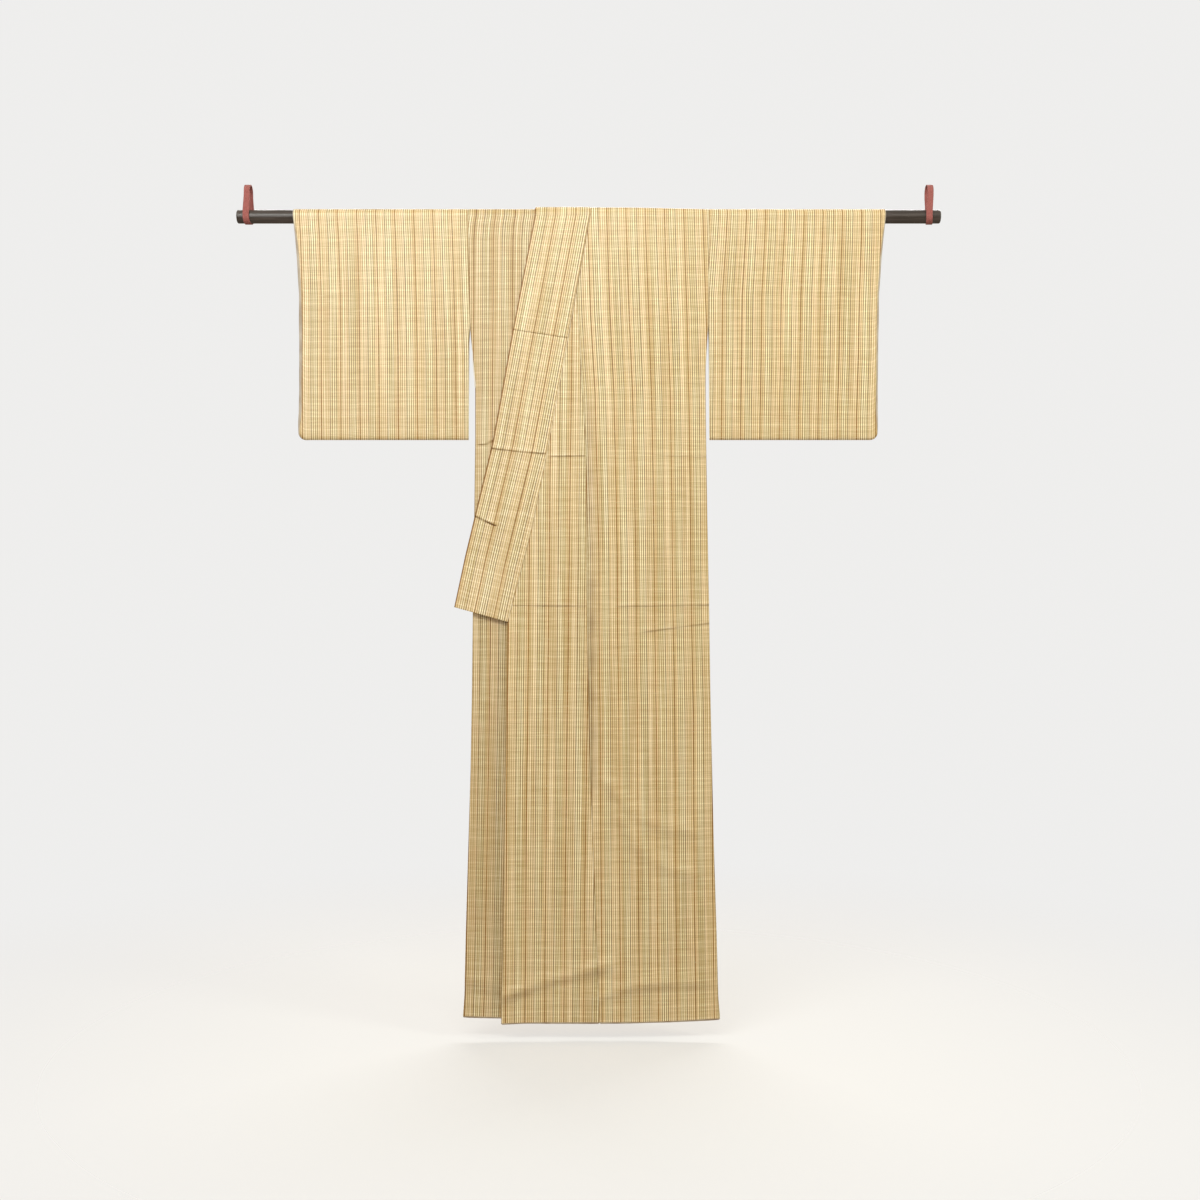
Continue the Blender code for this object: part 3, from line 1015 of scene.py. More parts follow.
@dataclass(frozen=True)
class StripedSilk:
    """Slubby spun silk with warp stripes that follow the cut and a fainter weft check.

    Lengths are in metres. shade paints a little shade over the whole cloth, for a layer that
    lies under another. warp_depth, weft_depth and yarn_depth say how far uneven threads
    lighten and darken it, and green_fall and blue_fall how much faster those colours go.
    """

    name: str
    repeat: float = 0.0384
    check: float = 0.0252
    stripe_sway: float = 0.0011
    check_sway: float = 0.0022
    check_depth: float = 0.33
    warp_depth: float = 0.33
    weft_depth: float = 0.11
    yarn_depth: float = 0.18
    green_fall: float = 1.22
    blue_fall: float = 1.84
    shade: float = 1.0
    seed: float = 0.0

    def make(self) -> bpy.types.Material:
        """Build the material.

        The stripes are multiplied by the threads' level, whose green and blue fall faster
        than its red. Then broken slubs along the weft and broad tints lie over them, and
        shade is painted last along creases, seams and edges.

        Returns:
            The material.
        """
        web = Web(self.name)
        cut = web.cut_place()
        warp, weft, yarn, slub, tint = (
            web.grain(cut, across, along, detail, self.seed + shift)
            for across, along, detail, shift in THREADS.values())
        middle = (self.check_depth + self.warp_depth + self.weft_depth + self.yarn_depth) / 2
        level = self.checked(web, cut) * self.check_depth \
            + warp.step(0.36, 0.64) * self.warp_depth \
            + weft.step(0.34, 0.66) * self.weft_depth + yarn * self.yarn_depth + (1 - middle)
        levels = web.add("ShaderNodeCombineColor", None,
                         {"Red": level, "Green": level * self.green_fall - (self.green_fall - 1),
                          "Blue": level * self.blue_fall - (self.blue_fall - 1)})
        colour = web.mix(1.0, self.striped(web, cut), levels, "MULTIPLY")
        colour = web.tinted(colour, (slub, 0.56, 0.74, 0.26, linear(235, 217, 175)),
                            (slub, 0.44, 0.28, 0.10, linear(160, 123, 58)),
                            (tint, 0.50, 0.75, 0.06, linear(200, 180, 112)),
                            (tint, 0.48, 0.26, 0.12, linear(212, 162, 120)))
        # Painted shade: darker towards a warm brown along creases, seams and edges
        press = web.add("ShaderNodeAttribute", {"attribute_name": SHADE_ATTRIBUTE}, None, "Fac")
        colour = web.mix(press, colour, linear(108, 68, 10))
        # Painted shade over the whole cloth, for a layer that lies under another
        if self.shade < 1:
            shade = (self.shade, self.shade * 0.985, self.shade * 0.96, 1)
            colour = web.mix(1.0, colour, shade, "MULTIPLY")
        height = yarn * 0.5 + weft * 0.8 + warp * 0.4 + slub * 0.5
        return web.finish(Base_Color=colour, Roughness=weft * 0.12 + 0.38,
                          Normal=web.bump(height, 0.35, 0.0005),
                          Specular_IOR_Level=0.65, Sheen_Weight=0.12, Sheen_Roughness=0.4)

    def striped(self, web: Web, cut: tuple[Wire, Wire]) -> Wire:
        """The warp's stripes, which sway a little.

        Their charts are read at the place across the cut over the repeat, and a thin line
        shows near each ninth of it, fainter in some patches.

        Args:
            web: the material's nodes.
            cut: the place across and along the cut.

        Returns:
            Their colour.
        """
        sway = web.grain(cut, 14, 5, 1, self.seed)
        place = (cut[0] + (sway - 0.5) * self.stripe_sway) / self.repeat
        at = {"Fac": place.fraction()}
        ground = web.add("ShaderNodeValToRGB", {"stops": WARP_GROUND}, at)
        line = web.add("ShaderNodeValToRGB", {"stops": WARP_LINES, "blend": "CONSTANT"}, at)
        patch = web.grain(cut, 70, 6, 1, self.seed + 1)
        off = (place * LINES_IN_REPEAT + LINE_SHIFT).fraction() - 0.5
        return web.mix((off * off).step(0.052, 0.008) * (patch * 0.8 + 0.6), ground, line)

    def checked(self, web: Web, cut: tuple[Wire, Wire]) -> Wire:
        """The weft's check, its chart read at the place along the cut over its repeat.

        Args:
            web: the material's nodes.
            cut: the place across and along the cut.

        Returns:
            How pale it is, from 0 to 1.
        """
        sway = web.grain(cut, 7, 16, 2, self.seed + 2)
        row = (cut[1] + (sway - 0.5) * self.check_sway) / self.check
        grey = tuple((at, (share, share, share, 1.0)) for at, share in WEFT)
        return web.add("ShaderNodeValToRGB", {"stops": grey}, {"Fac": row.fraction()})


class LiningPart(Enum):
    """Which part of the lining a finish is for: how its colour changes over it."""

    BODY = "body"
    SLEEVE = "sleeve"
    HEM_ROLL = "hem_roll"
    WRIST_ROLL = "wrist_roll"
    CREAM_ROLL = "cream_roll"


@dataclass(frozen=True)
class LiningSilk:
    """Smooth plain-woven lining: cream above, grey-brown at the hem and the sleeve ends.

    The two meet between the heights of hem_seam in the body and between the places across
    the cut of wrist_seam in a sleeve, in metres.
    """

    part: LiningPart
    cream: tuple[float, ...] = linear(240, 230, 212)
    brown: tuple[float, ...] = linear(150, 128, 104)
    hem_seam: tuple[float, float] = (-1.002, -0.998)
    wrist_seam: tuple[float, float] = (0.088, 0.091)

    def make(self) -> bpy.types.Material:
        """Build the material, with the two colours meeting at a seam where both are used.

        Returns:
            The material.
        """
        web = Web(f"lining_{self.part.value}")
        cut = web.cut_place()
        thread = web.grain(cut, 1400, 1400)
        cloud = web.grain(cut, 20, 20)
        if self.part is LiningPart.BODY:
            height = web.add("ShaderNodeSeparateXYZ", None, {"Vector": web.object_place()}, "Z")
            base = web.mix(height.step(*self.hem_seam), self.brown, self.cream)
        elif self.part is LiningPart.SLEEVE:
            base = web.mix(cut[0].step(*self.wrist_seam), self.brown, self.cream)
        elif self.part is LiningPart.HEM_ROLL:
            base = web.mix(cloud.step(0.35, 0.65), self.brown, linear(186, 170, 146))
        elif self.part is LiningPart.WRIST_ROLL:
            base = web.mix(cloud.step(0.30, 0.75) * 0.5 + 0.3, self.brown, linear(214, 204, 186))
        else:
            base = web.mix(cloud.step(0.3, 0.7), self.cream, linear(246, 239, 224))
        colour = web.tinted(base, (thread, 0.35, 0.65, 0.12, linear(120, 104, 86)))
        return web.finish(Base_Color=colour, Roughness=thread * 0.15 + 0.4,
                          Normal=web.bump(thread, 0.2, 0.0002),
                          Specular_IOR_Level=0.4, Sheen_Weight=0.1, Sheen_Roughness=0.4)


@dataclass(frozen=True)
class Lacquer:
    """Glossy brown-black lacquer, faintly rubbed, with a little dust on it.

    grain is how finely the rubbing runs along the rod and round it, to the metre.
    """

    grain: tuple[float, float, float] = (9, 160, 160)
    dust: float = 420

    def make(self) -> bpy.types.Material:
        """Build the material: clear gloss over a base that varies along the rod.

        Returns:
            The material.
        """
        web = Web("lacquer")
        place = web.object_place()
        long = web.add("ShaderNodeMapping", None, {"Vector": place, "Scale": self.grain})
        grain = web.noise(long, detail=3)
        specks = web.noise(place, scale=self.dust, detail=2)
        colour = web.mix(grain.step(0.35, 0.7), linear(56, 48, 44), linear(78, 68, 63))
        colour = web.tinted(colour, (specks, 0.66, 0.72, 0.25, linear(120, 112, 104)))
        return web.finish(Base_Color=colour, Roughness=grain * 0.14 + 0.32,
                          Coat_Weight=0.25, Coat_Roughness=0.24,
                          Normal=web.bump(grain, 0.08, 0.0004))


@dataclass(frozen=True)
class TapeCloth:
    """Ribbed dusty-red woven tape, with its ribs and its cords counted to the metre."""

    ribs: float = 1100
    cords: float = 500

    def make(self) -> bpy.types.Material:
        """Build the material: ribs across the tape, each stepped back from cord to cord.

        Returns:
            The material.
        """
        web = Web("tape")
        cut = web.cut_place()
        rib = (cut[1] * self.ribs + (cut[0] * self.cords).fraction() * 0.5).fraction()
        ribs = rib.step(0.0, 0.35) - rib.step(0.6, 1.0)
        fuzz = web.grain(cut, 900, 300)
        colour = web.mix(ribs, linear(120, 62, 58), linear(184, 106, 100))
        colour = web.tinted(colour, (fuzz, 0.5, 0.8, 0.35, linear(214, 164, 157)))
        return web.finish(Base_Color=colour, Roughness=fuzz * 0.2 + 0.6,
                          Normal=web.bump(ribs + fuzz * 0.5, 0.5, 0.0004),
                          Specular_IOR_Level=0.3, Sheen_Weight=0.2, Sheen_Roughness=0.5)


@dataclass(frozen=True)
class StudioPaper:
    """Plain pale paper for the floor, which fades into the backdrop with distance."""

    solid_radius: float = 0.5
    clear_radius: float = 2.7

    def make(self) -> bpy.types.Material:
        """Build the material, with a barely seen unevenness.

        Returns:
            The material.
        """
        web = Web("studio_paper")
        place = web.object_place()
        cloud = web.noise(place, scale=1.5, detail=3)
        colour = web.mix(cloud, linear(245, 242, 237), linear(250, 247, 242))
        radius = web.add("ShaderNodeVectorMath", {"operation": "LENGTH"}, {0: place}, "Value")
        return web.finish(Base_Color=colour, Roughness=cloud * 0.1 + 0.75,
                          Alpha=radius.step(self.clear_radius, self.solid_radius),
                          Specular_IOR_Level=0.2)


# ---- Garment pieces ----


def left_front_edge(drop: Array) -> Array:
    """Where the left body panel ends at the front: the collar seam, then the okumi seam."""
    return np.where(drop < KENSAKI_DROP, read(COLLAR, "seam", drop),
                    read(OKUMI_SEAM, "x", drop)) + SEAM_HALF_GAP


def mirrored(x: Array) -> Array:
    """The same place on the other front."""
    return 2 * NECK_X - x


def flat_place(name: str, across: Array, length: Array) -> Array:
    """Places on the flat cut: across it, and along the bolt from a pale line of the check."""
    start, sense = CHECK[name]
    return np.stack([across, np.broadcast_to(-sense * (length + start), across.shape)], -1)


def edge_flare(drop: Array) -> Array:
    """How far the over front's edge and the collar's end stand off what lies under them."""
    return EDGE_FLARE * ease((drop - FLARE_DROP) / FLARE_EASE)


def over_hem(x: Array, drop: Array, angle: Array) -> Array:
    """Ease the left front's last stretch onto its sloping hem line.

    Args:
        x: places across the garment.
        drop: how far down they are.
        angle: how far over the rod they are.

    Returns:
        Their drops with the hem's slope.
    """
    line = np.interp(x, OVER_HEM["x"], OVER_HEM["drop"])
    share = np.clip((drop - SLOPE_DROP) / (OVER_HEM_DROP - SLOPE_DROP), 0, 1) * (angle == 0)
    return drop + (line - OVER_HEM_DROP) * share


def dress(item: bpy.types.Object, slot: str, *nodes: str) -> bpy.types.Object:
    """Ride a piece on the body and let it stand for its nodes.

    Args:
        item: the piece.
        slot: the record's material slot, which is not used.
        nodes: the nodes that it replaces, if any.

    Returns:
        The piece.
    """
    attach(item, BODY)
    if nodes:
        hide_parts(*nodes)
    LOG.info("%s stands for %s", item.name, ", ".join(nodes) or "no node")
    return item


@dataclass
class EdgeRoll:
    """A roll of lining that shows past an edge of the cloth.

    half_width is how far it reaches beside the edge's line, in the cloth, and half_depth
    across the cloth. swells are two waves in its width: how much, and over what length.
    """

    name: str
    half_width: float
    half_depth: float
    finish: bpy.types.Material
    swells: tuple[tuple[float, float], ...] = ((0.12, 31), (0.08, 13))

    def build(self, line: Array, beyond: Array, fullness: Array | float = 1.0) \
            -> bpy.types.Object:
        """Make the roll.

        Args:
            line: points along the cloth's edge.
            beyond: unit vectors in the cloth that point past its edge.
            fullness: how much of its size the roll has at each point.

        Returns:
            The roll, dressed.
        """
        along = np.gradient(line, axis=0)
        along /= np.linalg.norm(along, axis=1, keepdims=True)
        through = np.cross(along, beyond)
        through /= np.linalg.norm(through, axis=1, keepdims=True)
        size = tapered(len(line)) * fullness
        step = run_along(line)[:, None]
        swell = 1 + sum(rise * np.sin(step / length) for rise, length in self.swells)
        item = tube(self.name, line, beyond * self.half_width * size * swell,
                    through * self.half_depth * size, self.finish)
        return dress(item, "silk")


@dataclass
class Panel:
    """What the body and overlap panels share: side, finishes, and the hem with its roll.

    The cloth ends hem_inset above its drop, and the roll of lining lies roll_drop below it.
    """

    side: Side
    silk: bpy.types.Material
    lining: bpy.types.Material
    hem_lining: bpy.types.Material
    hem_inset: float = 1.6
    roll_drop: float = 0.8
    roll_half_width: float = 1.7
    roll_half_depth: float = 1.0

    @property
    def over(self) -> bool:
        """Whether this is the left side, whose front lies on top."""
        return self.side is Side.LEFT

    @property
    def hem(self) -> float:
        """The drop at which the front's cloth ends."""
        return (OVER_HEM_DROP if self.over else UNDER_HEM_DROP) - self.hem_inset

    @property
    def creases(self) -> tuple[Crease, ...]:
        """The creases of the front that the panel is part of."""
        return OVER_CREASES if self.over else UNDER_CREASES

    def hang_line(self, x: Array, run: Run) -> Array:
        """The drop of each place, with the over front's sloping hem."""
        return over_hem(x, run.drop, run.angle) if self.over \
            else np.broadcast_to(run.drop, x.shape)

    def front_depth(self, x: Array, hung: Array) -> Array:
        """The front's depth: the hollow's, its layer's height on it, and its creases."""
        layer = OVER_PANEL if self.over else UNDER_PANEL
        return front_hollow(x, hung) + lift(self.creases, x, hung) + layer

    def roll_hem(self, name: str, line: Array) -> bpy.types.Object:
        """A roll of lining below a hem.

        Args:
            name: what the roll's name starts with.
            line: points along the hem.

        Returns:
            The roll.
        """
        down = np.tile((0.0, 0.0, -1.0), (len(line), 1))
        roll = EdgeRoll(f"{name}_hem_roll", self.roll_half_width, self.roll_half_depth,
                        self.hem_lining)
        return roll.build(line + self.roll_drop * down, down)


@dataclass
class BodyPanel(Panel):
    """A body panel: one cut from the front hem over the shoulder to the back hem."""

    flat: tuple[float, float] = (0.324, 3.262)
    area: float = 0.93
    usual_width: float = 240.0
    columns: int = 44
    pleat_columns: int = 14
    fold_columns: int = 6
    bands: tuple[tuple[float, float], ...] = ((440, 492), (768, 792), (808, 840), (1586, 1616))
    neck_band: tuple[float, float] = (NECK_DROP - 2, NECK_DROP + 3)

    @property
    def name(self) -> str:
        """The piece's name."""
        return f"body_{self.side.value}"

    @property
    def main(self) -> Array:
        """The shares of the columns from the side edge to the front edge."""
        return shares(self.usual_width, self.columns)

    def edges(self, run: Run) -> tuple[Array, Array]:
        """The side edge and the inner edge of the main columns.

        Args:
            run: the rows.

        Returns:
            Where both edges lie in each row.
        """
        drop = run.drop
        seam = SEAM_HALF_GAP * (drop <= ARMHOLE_DROP)
        side = read(SIDES, self.side.value, drop) - self.side.sign * seam
        inner = np.where(run.at_front, left_front_edge(drop), NECK_X + SEAM_HALF_GAP)
        if not self.over:
            fold = np.interp(drop, (0, NECK_DROP), (NECK_X, FOLD_X))
            inner = np.where(run.angle == math.pi, fold, mirrored(inner))
        return side, inner

    def past_neck(self, x: Array, inner: Array, centre: Array) -> tuple[Array, Array, Array]:
        """Add the columns past the neck, which the back alone has.

        The left panel runs on to the centre back, and the right one goes half a turn round
        the pleat's fold and back under itself.

        Args:
            x: the main columns.
            inner: their inner edge.
            centre: the centre back seam.

        Returns:
            All columns' places, their places on the flat cut, and how far they are raised.
        """
        rows = len(x)
        share = np.linspace(0, 1, self.pleat_columns + 1)[None, 1:]
        if self.over:
            x = beside(x, inner + (centre - inner) * share, rows=rows)
            return x, x, np.zeros(x.shape)
        turn = np.linspace(0, math.pi, self.fold_columns + 1)[None, 1:]
        back = FOLD_X + (centre - FOLD_X) * share
        raised = beside(np.zeros(x.shape), PLEAT_RADIUS * (1 - np.cos(turn)),
                        np.full(share.shape, 2 * PLEAT_RADIUS), rows=rows)
        flat_x = beside(x, FOLD_X + PLEAT_RADIUS * turn,
                        2 * FOLD_X + PLEAT_RADIUS * math.pi - back, rows=rows)
        return beside(x, FOLD_X + PLEAT_RADIUS * np.sin(turn), back, rows=rows), flat_x, raised

    def grid(self) -> Cloth:
        """The panel's grid, from the side edge to the front edge and, behind, past the neck.

        Returns:
            The grid, less the cells past the neck that aren't at the back.
        """
        back = stations(0, BACK_HEM_DROP, (*self.bands, self.neck_band))
        back[np.abs(back - NECK_DROP).argmin()] = NECK_DROP
        run = Run.over_rod(stations(0, self.hem, self.bands), back)
        side, inner = self.edges(run)
        main = side + (inner - side) * self.main
        x, flat_x, raised = self.past_neck(main, inner, read(CENTRE_BACK, "x", run.drop))
        missing = np.zeros((len(x) - 1, x.shape[1] - 1), bool)
        below_neck = (run.angle[:-1] == math.pi) & (run.drop[:-1] >= NECK_DROP)
        missing[:, main.shape[1] - 1:] = ~below_neck
        hung = self.hang_line(x, run)
        points = self.hang(x, hung, run, raised, side, inner)
        cut = flat_place(self.name, STRIPES[self.name].across(flat_x, run.drop), run.length)
        # Painted shade along the creases, the side edge and, at the front, the inner seam
        press = np.where(run.at_front, painted_shades(self.creases, x, hung),
                         painted_shades(BACK_CREASES, x, hung))
        press = press + edge_shade(np.abs(x - side)) + edge_shade(np.abs(x - inner)) * run.at_front
        return Cloth(points, cut, press, missing)

    def hang(self, x: Array, hung: Array, run: Run, raised: Array, side: Array,
             inner: Array) -> Array:
        """Hang the panel over the hollow's depth, its layer's height and its creases.

        Args:
            x: places across the garment.
            hung: their drops.
            run: the rows.
            raised: how far the pleat lifts each place.
            side: the side edge.
            inner: the inner edge.

        Returns:
            The points.
        """
        side_dip = turned(np.abs(x - side), SIDE_DIP)
        inner_dip = turned(np.abs(x - inner), SEWN_DIP) * run.at_front
        stack = PLEAT_STACK * (1 - ease((x - STACK_FULL_X) / STACK_EASE))
        back = back_hollow(x, hung) + lift(BACK_CREASES, x, hung) + UNDER_PANEL
        back = back + (stack if self.over else raised)
        return place(x, hung, run.angle, self.front_depth(x, hung) - side_dip - inner_dip,
                     back - side_dip)

    def build(self) -> bpy.types.Object:
        """Returns:
            The panel.
        """
        cloth = self.grid()
        item = cloth.build(f"{self.name}_silk", PANEL_WALL, self.silk, self.lining)
        dress(item, "silk", *(f"{self.name}_{part}" for part in ("front", "shoulder", "back")))
        main = self.main.shape[1]
        hems = {"front": cloth.points[0, :main],
                "back": cloth.points[-1] if self.over else cloth.points[-1, :main]}
        rolls = [self.roll_hem(f"{self.name}_{end}", line) for end, line in hems.items()]
        return item


@dataclass
class OverlapPanel(Panel):
    """An okumi: a long wedge sewn to a body panel's front edge, with its tip at the collar."""

    flat: tuple[float, float] = (0.197, 1.461)
    area: float = 0.192
    tip: float = 153.0
    least_width: float = 1.0
    usual_width: float = 160.0
    flare_width: float = 80.0
    columns: int = 26
    bands: tuple[tuple[float, float], ...] = ((464, 492), (768, 792), (1586, 1616))

    def build(self) -> bpy.types.Object:
        """Make the wedge between the okumi seam and the collar seam or the front edge.

        Returns:
            The panel.
        """
        run = Run.front_only(stations(self.tip, self.hem, self.bands))
        drop = run.drop
        inner = read(OKUMI_SEAM, "x", drop) - SEAM_HALF_GAP
        outer = np.where(drop < COLLAR_END_DROP, read(COLLAR, "seam", drop) + SEAM_HALF_GAP,
                         read(FRONT_EDGE, "x", drop))
        outer = np.minimum(outer, inner - self.least_width)
        x = inner + (outer - inner) * shares(self.usual_width, self.columns)
        if not self.over:
            outer, inner, x = mirrored(outer), mirrored(inner), mirrored(x)
        hung = self.hang_line(x, run)
        to_inner, to_outer = np.abs(x - inner), np.abs(x - outer)
        depth = self.front_depth(x, hung)
        if self.over:
            depth = depth + edge_flare(drop) * np.clip(1 - to_outer / self.flare_width, 0, 1) ** 2
        depth = depth - turned(to_inner, SEWN_DIP) - turned(to_outer, SEWN_DIP)
        name = f"okumi_{self.side.value}"
        # The grid's last part is painted shade along the creases and both seams
        cloth = Cloth(place(x, hung, 0.0, depth, depth),
                      flat_place(name, STRIPES[name].across(x, drop), run.length),
                      painted_shades(self.creases, x, hung) + edge_shade(to_inner) + edge_shade(to_outer))
        item = cloth.build(f"{name}_silk", PANEL_WALL, self.silk, self.lining)
        dress(item, "silk", name)
        self.roll_hem(name, cloth.points[-1])
        return item


@dataclass
class CollarBand:
    """One band of the collar, from the back neck over the rod and down the front.

    Its free edge lies higher than its seam in each row. width_share is how much of the
    collar's opened width it shows, depth_out how far its middle lies off the hollow, and
    end_dip how far its last end_reach turns in. grain_share allows for the collar's slant.
    """

    name: str
    silk: bpy.types.Material
    last_drop: float
    width_share: float
    depth_out: float
    wall: float
    flat: tuple[float, float]
    rests_on: str
    mirror: bool = False
    end_dip: float = 0.0
    end_reach: float = 7.0
    end_band: float = 9.0
    seam_dip: float = 0.4
    free_dip: float = 0.7
    free_reach: float = 3.5
    usual_width: float = 110.0
    grain_share: float = 0.955
    columns: int = 22
    bands: tuple[tuple[float, float], ...] = ((462, 500), (592, 646))
    neck: tuple[float, ...] = (0.0, 4.0, 8.0, 12.0, 16.0, 18.6, NECK_DROP - 0.3)

    def build(self) -> bpy.types.Object:
        """Make the band: straight rows from the collar seam to the free edge.

        Returns:
            The band.
        """
        bands = [band for band in self.bands if band[1] < self.last_drop]
        bands.append((self.last_drop - self.end_band, self.last_drop))
        run = Run.over_rod(stations(0, self.last_drop, tuple(bands)), np.array(self.neck))
        drop = run.drop
        seam = np.where(run.at_front, read(COLLAR, "seam", drop), NECK_X) - SEAM_HALF_GAP
        free = np.where(run.at_front, read(COLLAR, "free", drop), COLLAR["free"][0])
        rise = np.where(run.at_front, read(COLLAR, "rise", drop), 0.0)
        width = np.hypot(free - seam, rise)
        across = shares(self.usual_width * self.width_share, self.columns) * self.width_share
        x, hung = seam + (free - seam) * across, drop - rise * across
        creases = () if self.mirror else COLLAR_CREASES
        # marks is painted shade along the collar's creases
        relief, marks = lift(creases, x, hung), painted_shades(creases, x, hung)
        if self.mirror:
            x = mirrored(x)
        from_seam, from_free = across * width, (self.width_share - across) * width
        crown = turned(from_free, self.free_dip, self.free_reach) \
            + turned(from_seam, self.seam_dip)
        front = front_hollow(x, hung) + self.depth_out - crown
        back = front_hollow(x, np.zeros(x.shape)) + self.depth_out - crown
        if not self.mirror:
            front = front + edge_flare(drop) \
                - self.end_dip * ease(1 - (self.last_drop - drop) / self.end_reach)
        grain = -(1 - across) * width * self.grain_share
        # The grid's painted shade: along the creases and both edges
        cloth = Cloth(place(x, hung, run.angle, front + relief, back),
                      flat_place(self.name, grain, run.length),
                      marks + edge_shade(from_free) + edge_shade(from_seam))
        item = cloth.build(f"{self.name}_silk", self.wall, self.silk)
        dress(item, "silk", self.name)
        return item


@dataclass
class Sleeve:
    """A sleeve: one cut folded over the rod, sewn along its foot and below the wrist.

    The silk ends short of the outer edge by its side's inset, where the lining's roll lies.
    The roll thins to roll_least over the rod and at the foot, eased over roll_eases, and
    its half width and its place past the silk are shares of the inset. No crease dents the
    sleeve by more than most_dent of its depth, and the back's are the front's, moved
    inwards, stretched and lower.
    """

    side: Side
    silk: bpy.types.Material
    lining: bpy.types.Material
    wrist_lining: bpy.types.Material
    flat: tuple[float, float] = (0.352, 0.94)
    area: float = 0.322
    usual_width: float = 350.0
    corner_radius: float = 14.0
    corner_steps: int = 8
    columns: int = 56
    insets: dict[Side, float] = field(default_factory=lambda: {Side.RIGHT: 5.0, Side.LEFT: 3.2})
    roll_least: float = 0.35
    roll_eases: tuple[float, float] = (90.0, 50.0)
    roll_half_width: float = 0.58
    roll_half_depth: float = 1.1
    roll_place: float = 0.44
    roll_tip: float = 0.08
    roll_lead: int = 3
    lead_angle: float = -0.35
    least_depth: float = 0.9
    most_dent: float = 0.6
    foot_ease: float = 10.0
    back_stretch: tuple[float, float] = (0.97, 0.98)
    back_shift: float = 7.0
    back_height: float = 0.8
    # How dark the painted shade along the outer edge is, as a share
    outer_shade: float = 0.6
    bands: tuple[tuple[float, float], ...] = ((392, 436),)

    @property
    def name(self) -> str:
        """The piece's name."""
        return f"sleeve_{self.side.value}"

    def grid(self) -> Cloth:
        """The sleeve's grid, whose last columns go round the foot's outer corner.

        There x falls short of the outer edge by the radius times 1 less the sine of the
        turn, and the foot rises by the radius times 1 less its cosine.

        Returns:
            The grid, closed along its foot and below the wrist.
        """
        sign = self.side.sign
        drops = stations(0, SLEEVE_DROP, self.bands)
        run = Run.over_rod(drops, drops)
        drop, rows = run.drop, len(run.drop)
        corner = np.linspace(0, math.pi / 2, self.corner_steps + 1)[None, :]
        edge = np.array(EDGE_STEPS) / self.usual_width
        even = np.concatenate([edge, np.linspace(edge[-1], 1, self.columns)[1:-1]])[None, :]
        inner = read(SLEEVE_INNER, self.side.value, drop) + sign * SEAM_HALF_GAP
        outer = read(SLEEVE_OUTER, self.side.value, drop) \
            - sign * self.insets[self.side] * self.roll_fullness(drop)
        knee = outer - sign * self.corner_radius
        curve = outer - sign * self.corner_radius * (1 - np.sin(corner))
        x = beside(inner + (knee - inner) * even, curve, rows=rows)
        rise = beside(np.zeros(even.shape), self.corner_radius * (1 - np.cos(corner)), rows=1)
        hung = drop * (SLEEVE_DROP - rise) / SLEEVE_DROP
        bend = ((x - inner) / (outer - inner)) ** SIDE_POWER
        full = sleeve_hollow(drop)
        depth = full + (sleeve_hollow(hung, WRIST_DROP) - full) * bend + UNDER_PANEL
        front, back = self.reliefs(x, hung, depth)
        sewn = ease((SLEEVE_DROP - drop) / self.foot_ease)
        dip = turned(np.abs(x - inner), SEWN_DIP) * (drop <= ARMHOLE_DROP)
        points = place(x, hung, run.angle, depth + front * sewn - dip,
                       depth + back * sewn - dip)
        cut = flat_place(self.name, STRIPES[self.name].across(x, drop), run.length)
        # Painted shade along the inner edge and the outer edge
        press = edge_shade(np.abs(x - inner)) + self.outer_shade * edge_shade(np.abs(x - outer))
        closing = self.closing(np.arange(x.size).reshape(x.shape), (drops > WRIST_DROP).sum())
        return Cloth(points, cut, press, closing=closing)

    def reliefs(self, x: Array, hung: Array, depth: Array) -> tuple[Array, Array]:
        """The creases at the front and at the back.

        Args:
            x: places across the garment.
            hung: their drops.
            depth: the sleeve's depth at each.

        Returns:
            How far the front's and the back's creases lift the cloth.
        """
        creases = SLEEVE_CREASES[self.side]
        deepest = -self.most_dent * (depth - self.least_depth)
        back = lift(creases, x * self.back_stretch[0] + self.back_shift * self.side.sign,
                    hung * self.back_stretch[1])
        return np.maximum(lift(creases, x, hung), deepest), \
            np.maximum(back, deepest) * self.back_height

    @staticmethod
    def closing(number: Array, sewn: int) -> Array:
        """The quads that close the foot and the outer edge of so many rows below the wrist."""
        edge = np.stack([number[:sewn + 1, -1], number[::-1, -1][:sewn + 1]], axis=1)
        return np.concatenate([cells(number[[-1, 0]]), cells(edge)], axis=None).reshape(-1, 4)

    def build(self) -> bpy.types.Object:
        """Returns:
            The sleeve.
        """
        cloth = self.grid()
        item = cloth.build(f"{self.name}_silk", PANEL_WALL, self.silk, self.lining)
        dress(item, "silk", self.name)
        self.mouth(cloth.points)
        return item

    def mouth(self, points: Array) -> bpy.types.Object:
        """The lining's roll down the outer edge: from the foot's corner over the rod and back.

        Args:
            points: the sleeve's grid.

        Returns:
            The roll.
        """
        inset = self.insets[self.side]
        reach = self.corner_steps + self.roll_lead
        front, back = points[0, -reach - 1:-1], points[-1, -reach - 1:-1][::-1]
        line = np.concatenate([front, points[:, -1], back])
        turn = np.clip(np.linspace(self.lead_angle, math.pi / 2, reach), 0, None)
        angle = np.concatenate([turn, np.full(len(points), math.pi / 2), turn[::-1]])
        beyond = np.stack([self.side.sign * np.sin(angle), 0 * angle, -np.cos(angle)], -1)
        full = self.roll_fullness(-points[:, -1, 2])
        corner = np.linspace(self.roll_tip, 1, reach) * full[0]
        full = np.concatenate([corner, full, corner[::-1]])[:, None]
        roll = EdgeRoll(f"{self.name}_mouth_roll", self.roll_half_width * inset,
                        self.roll_half_depth, self.wrist_lining)
        return roll.build(line + self.roll_place * inset * full * beyond, beyond, full)

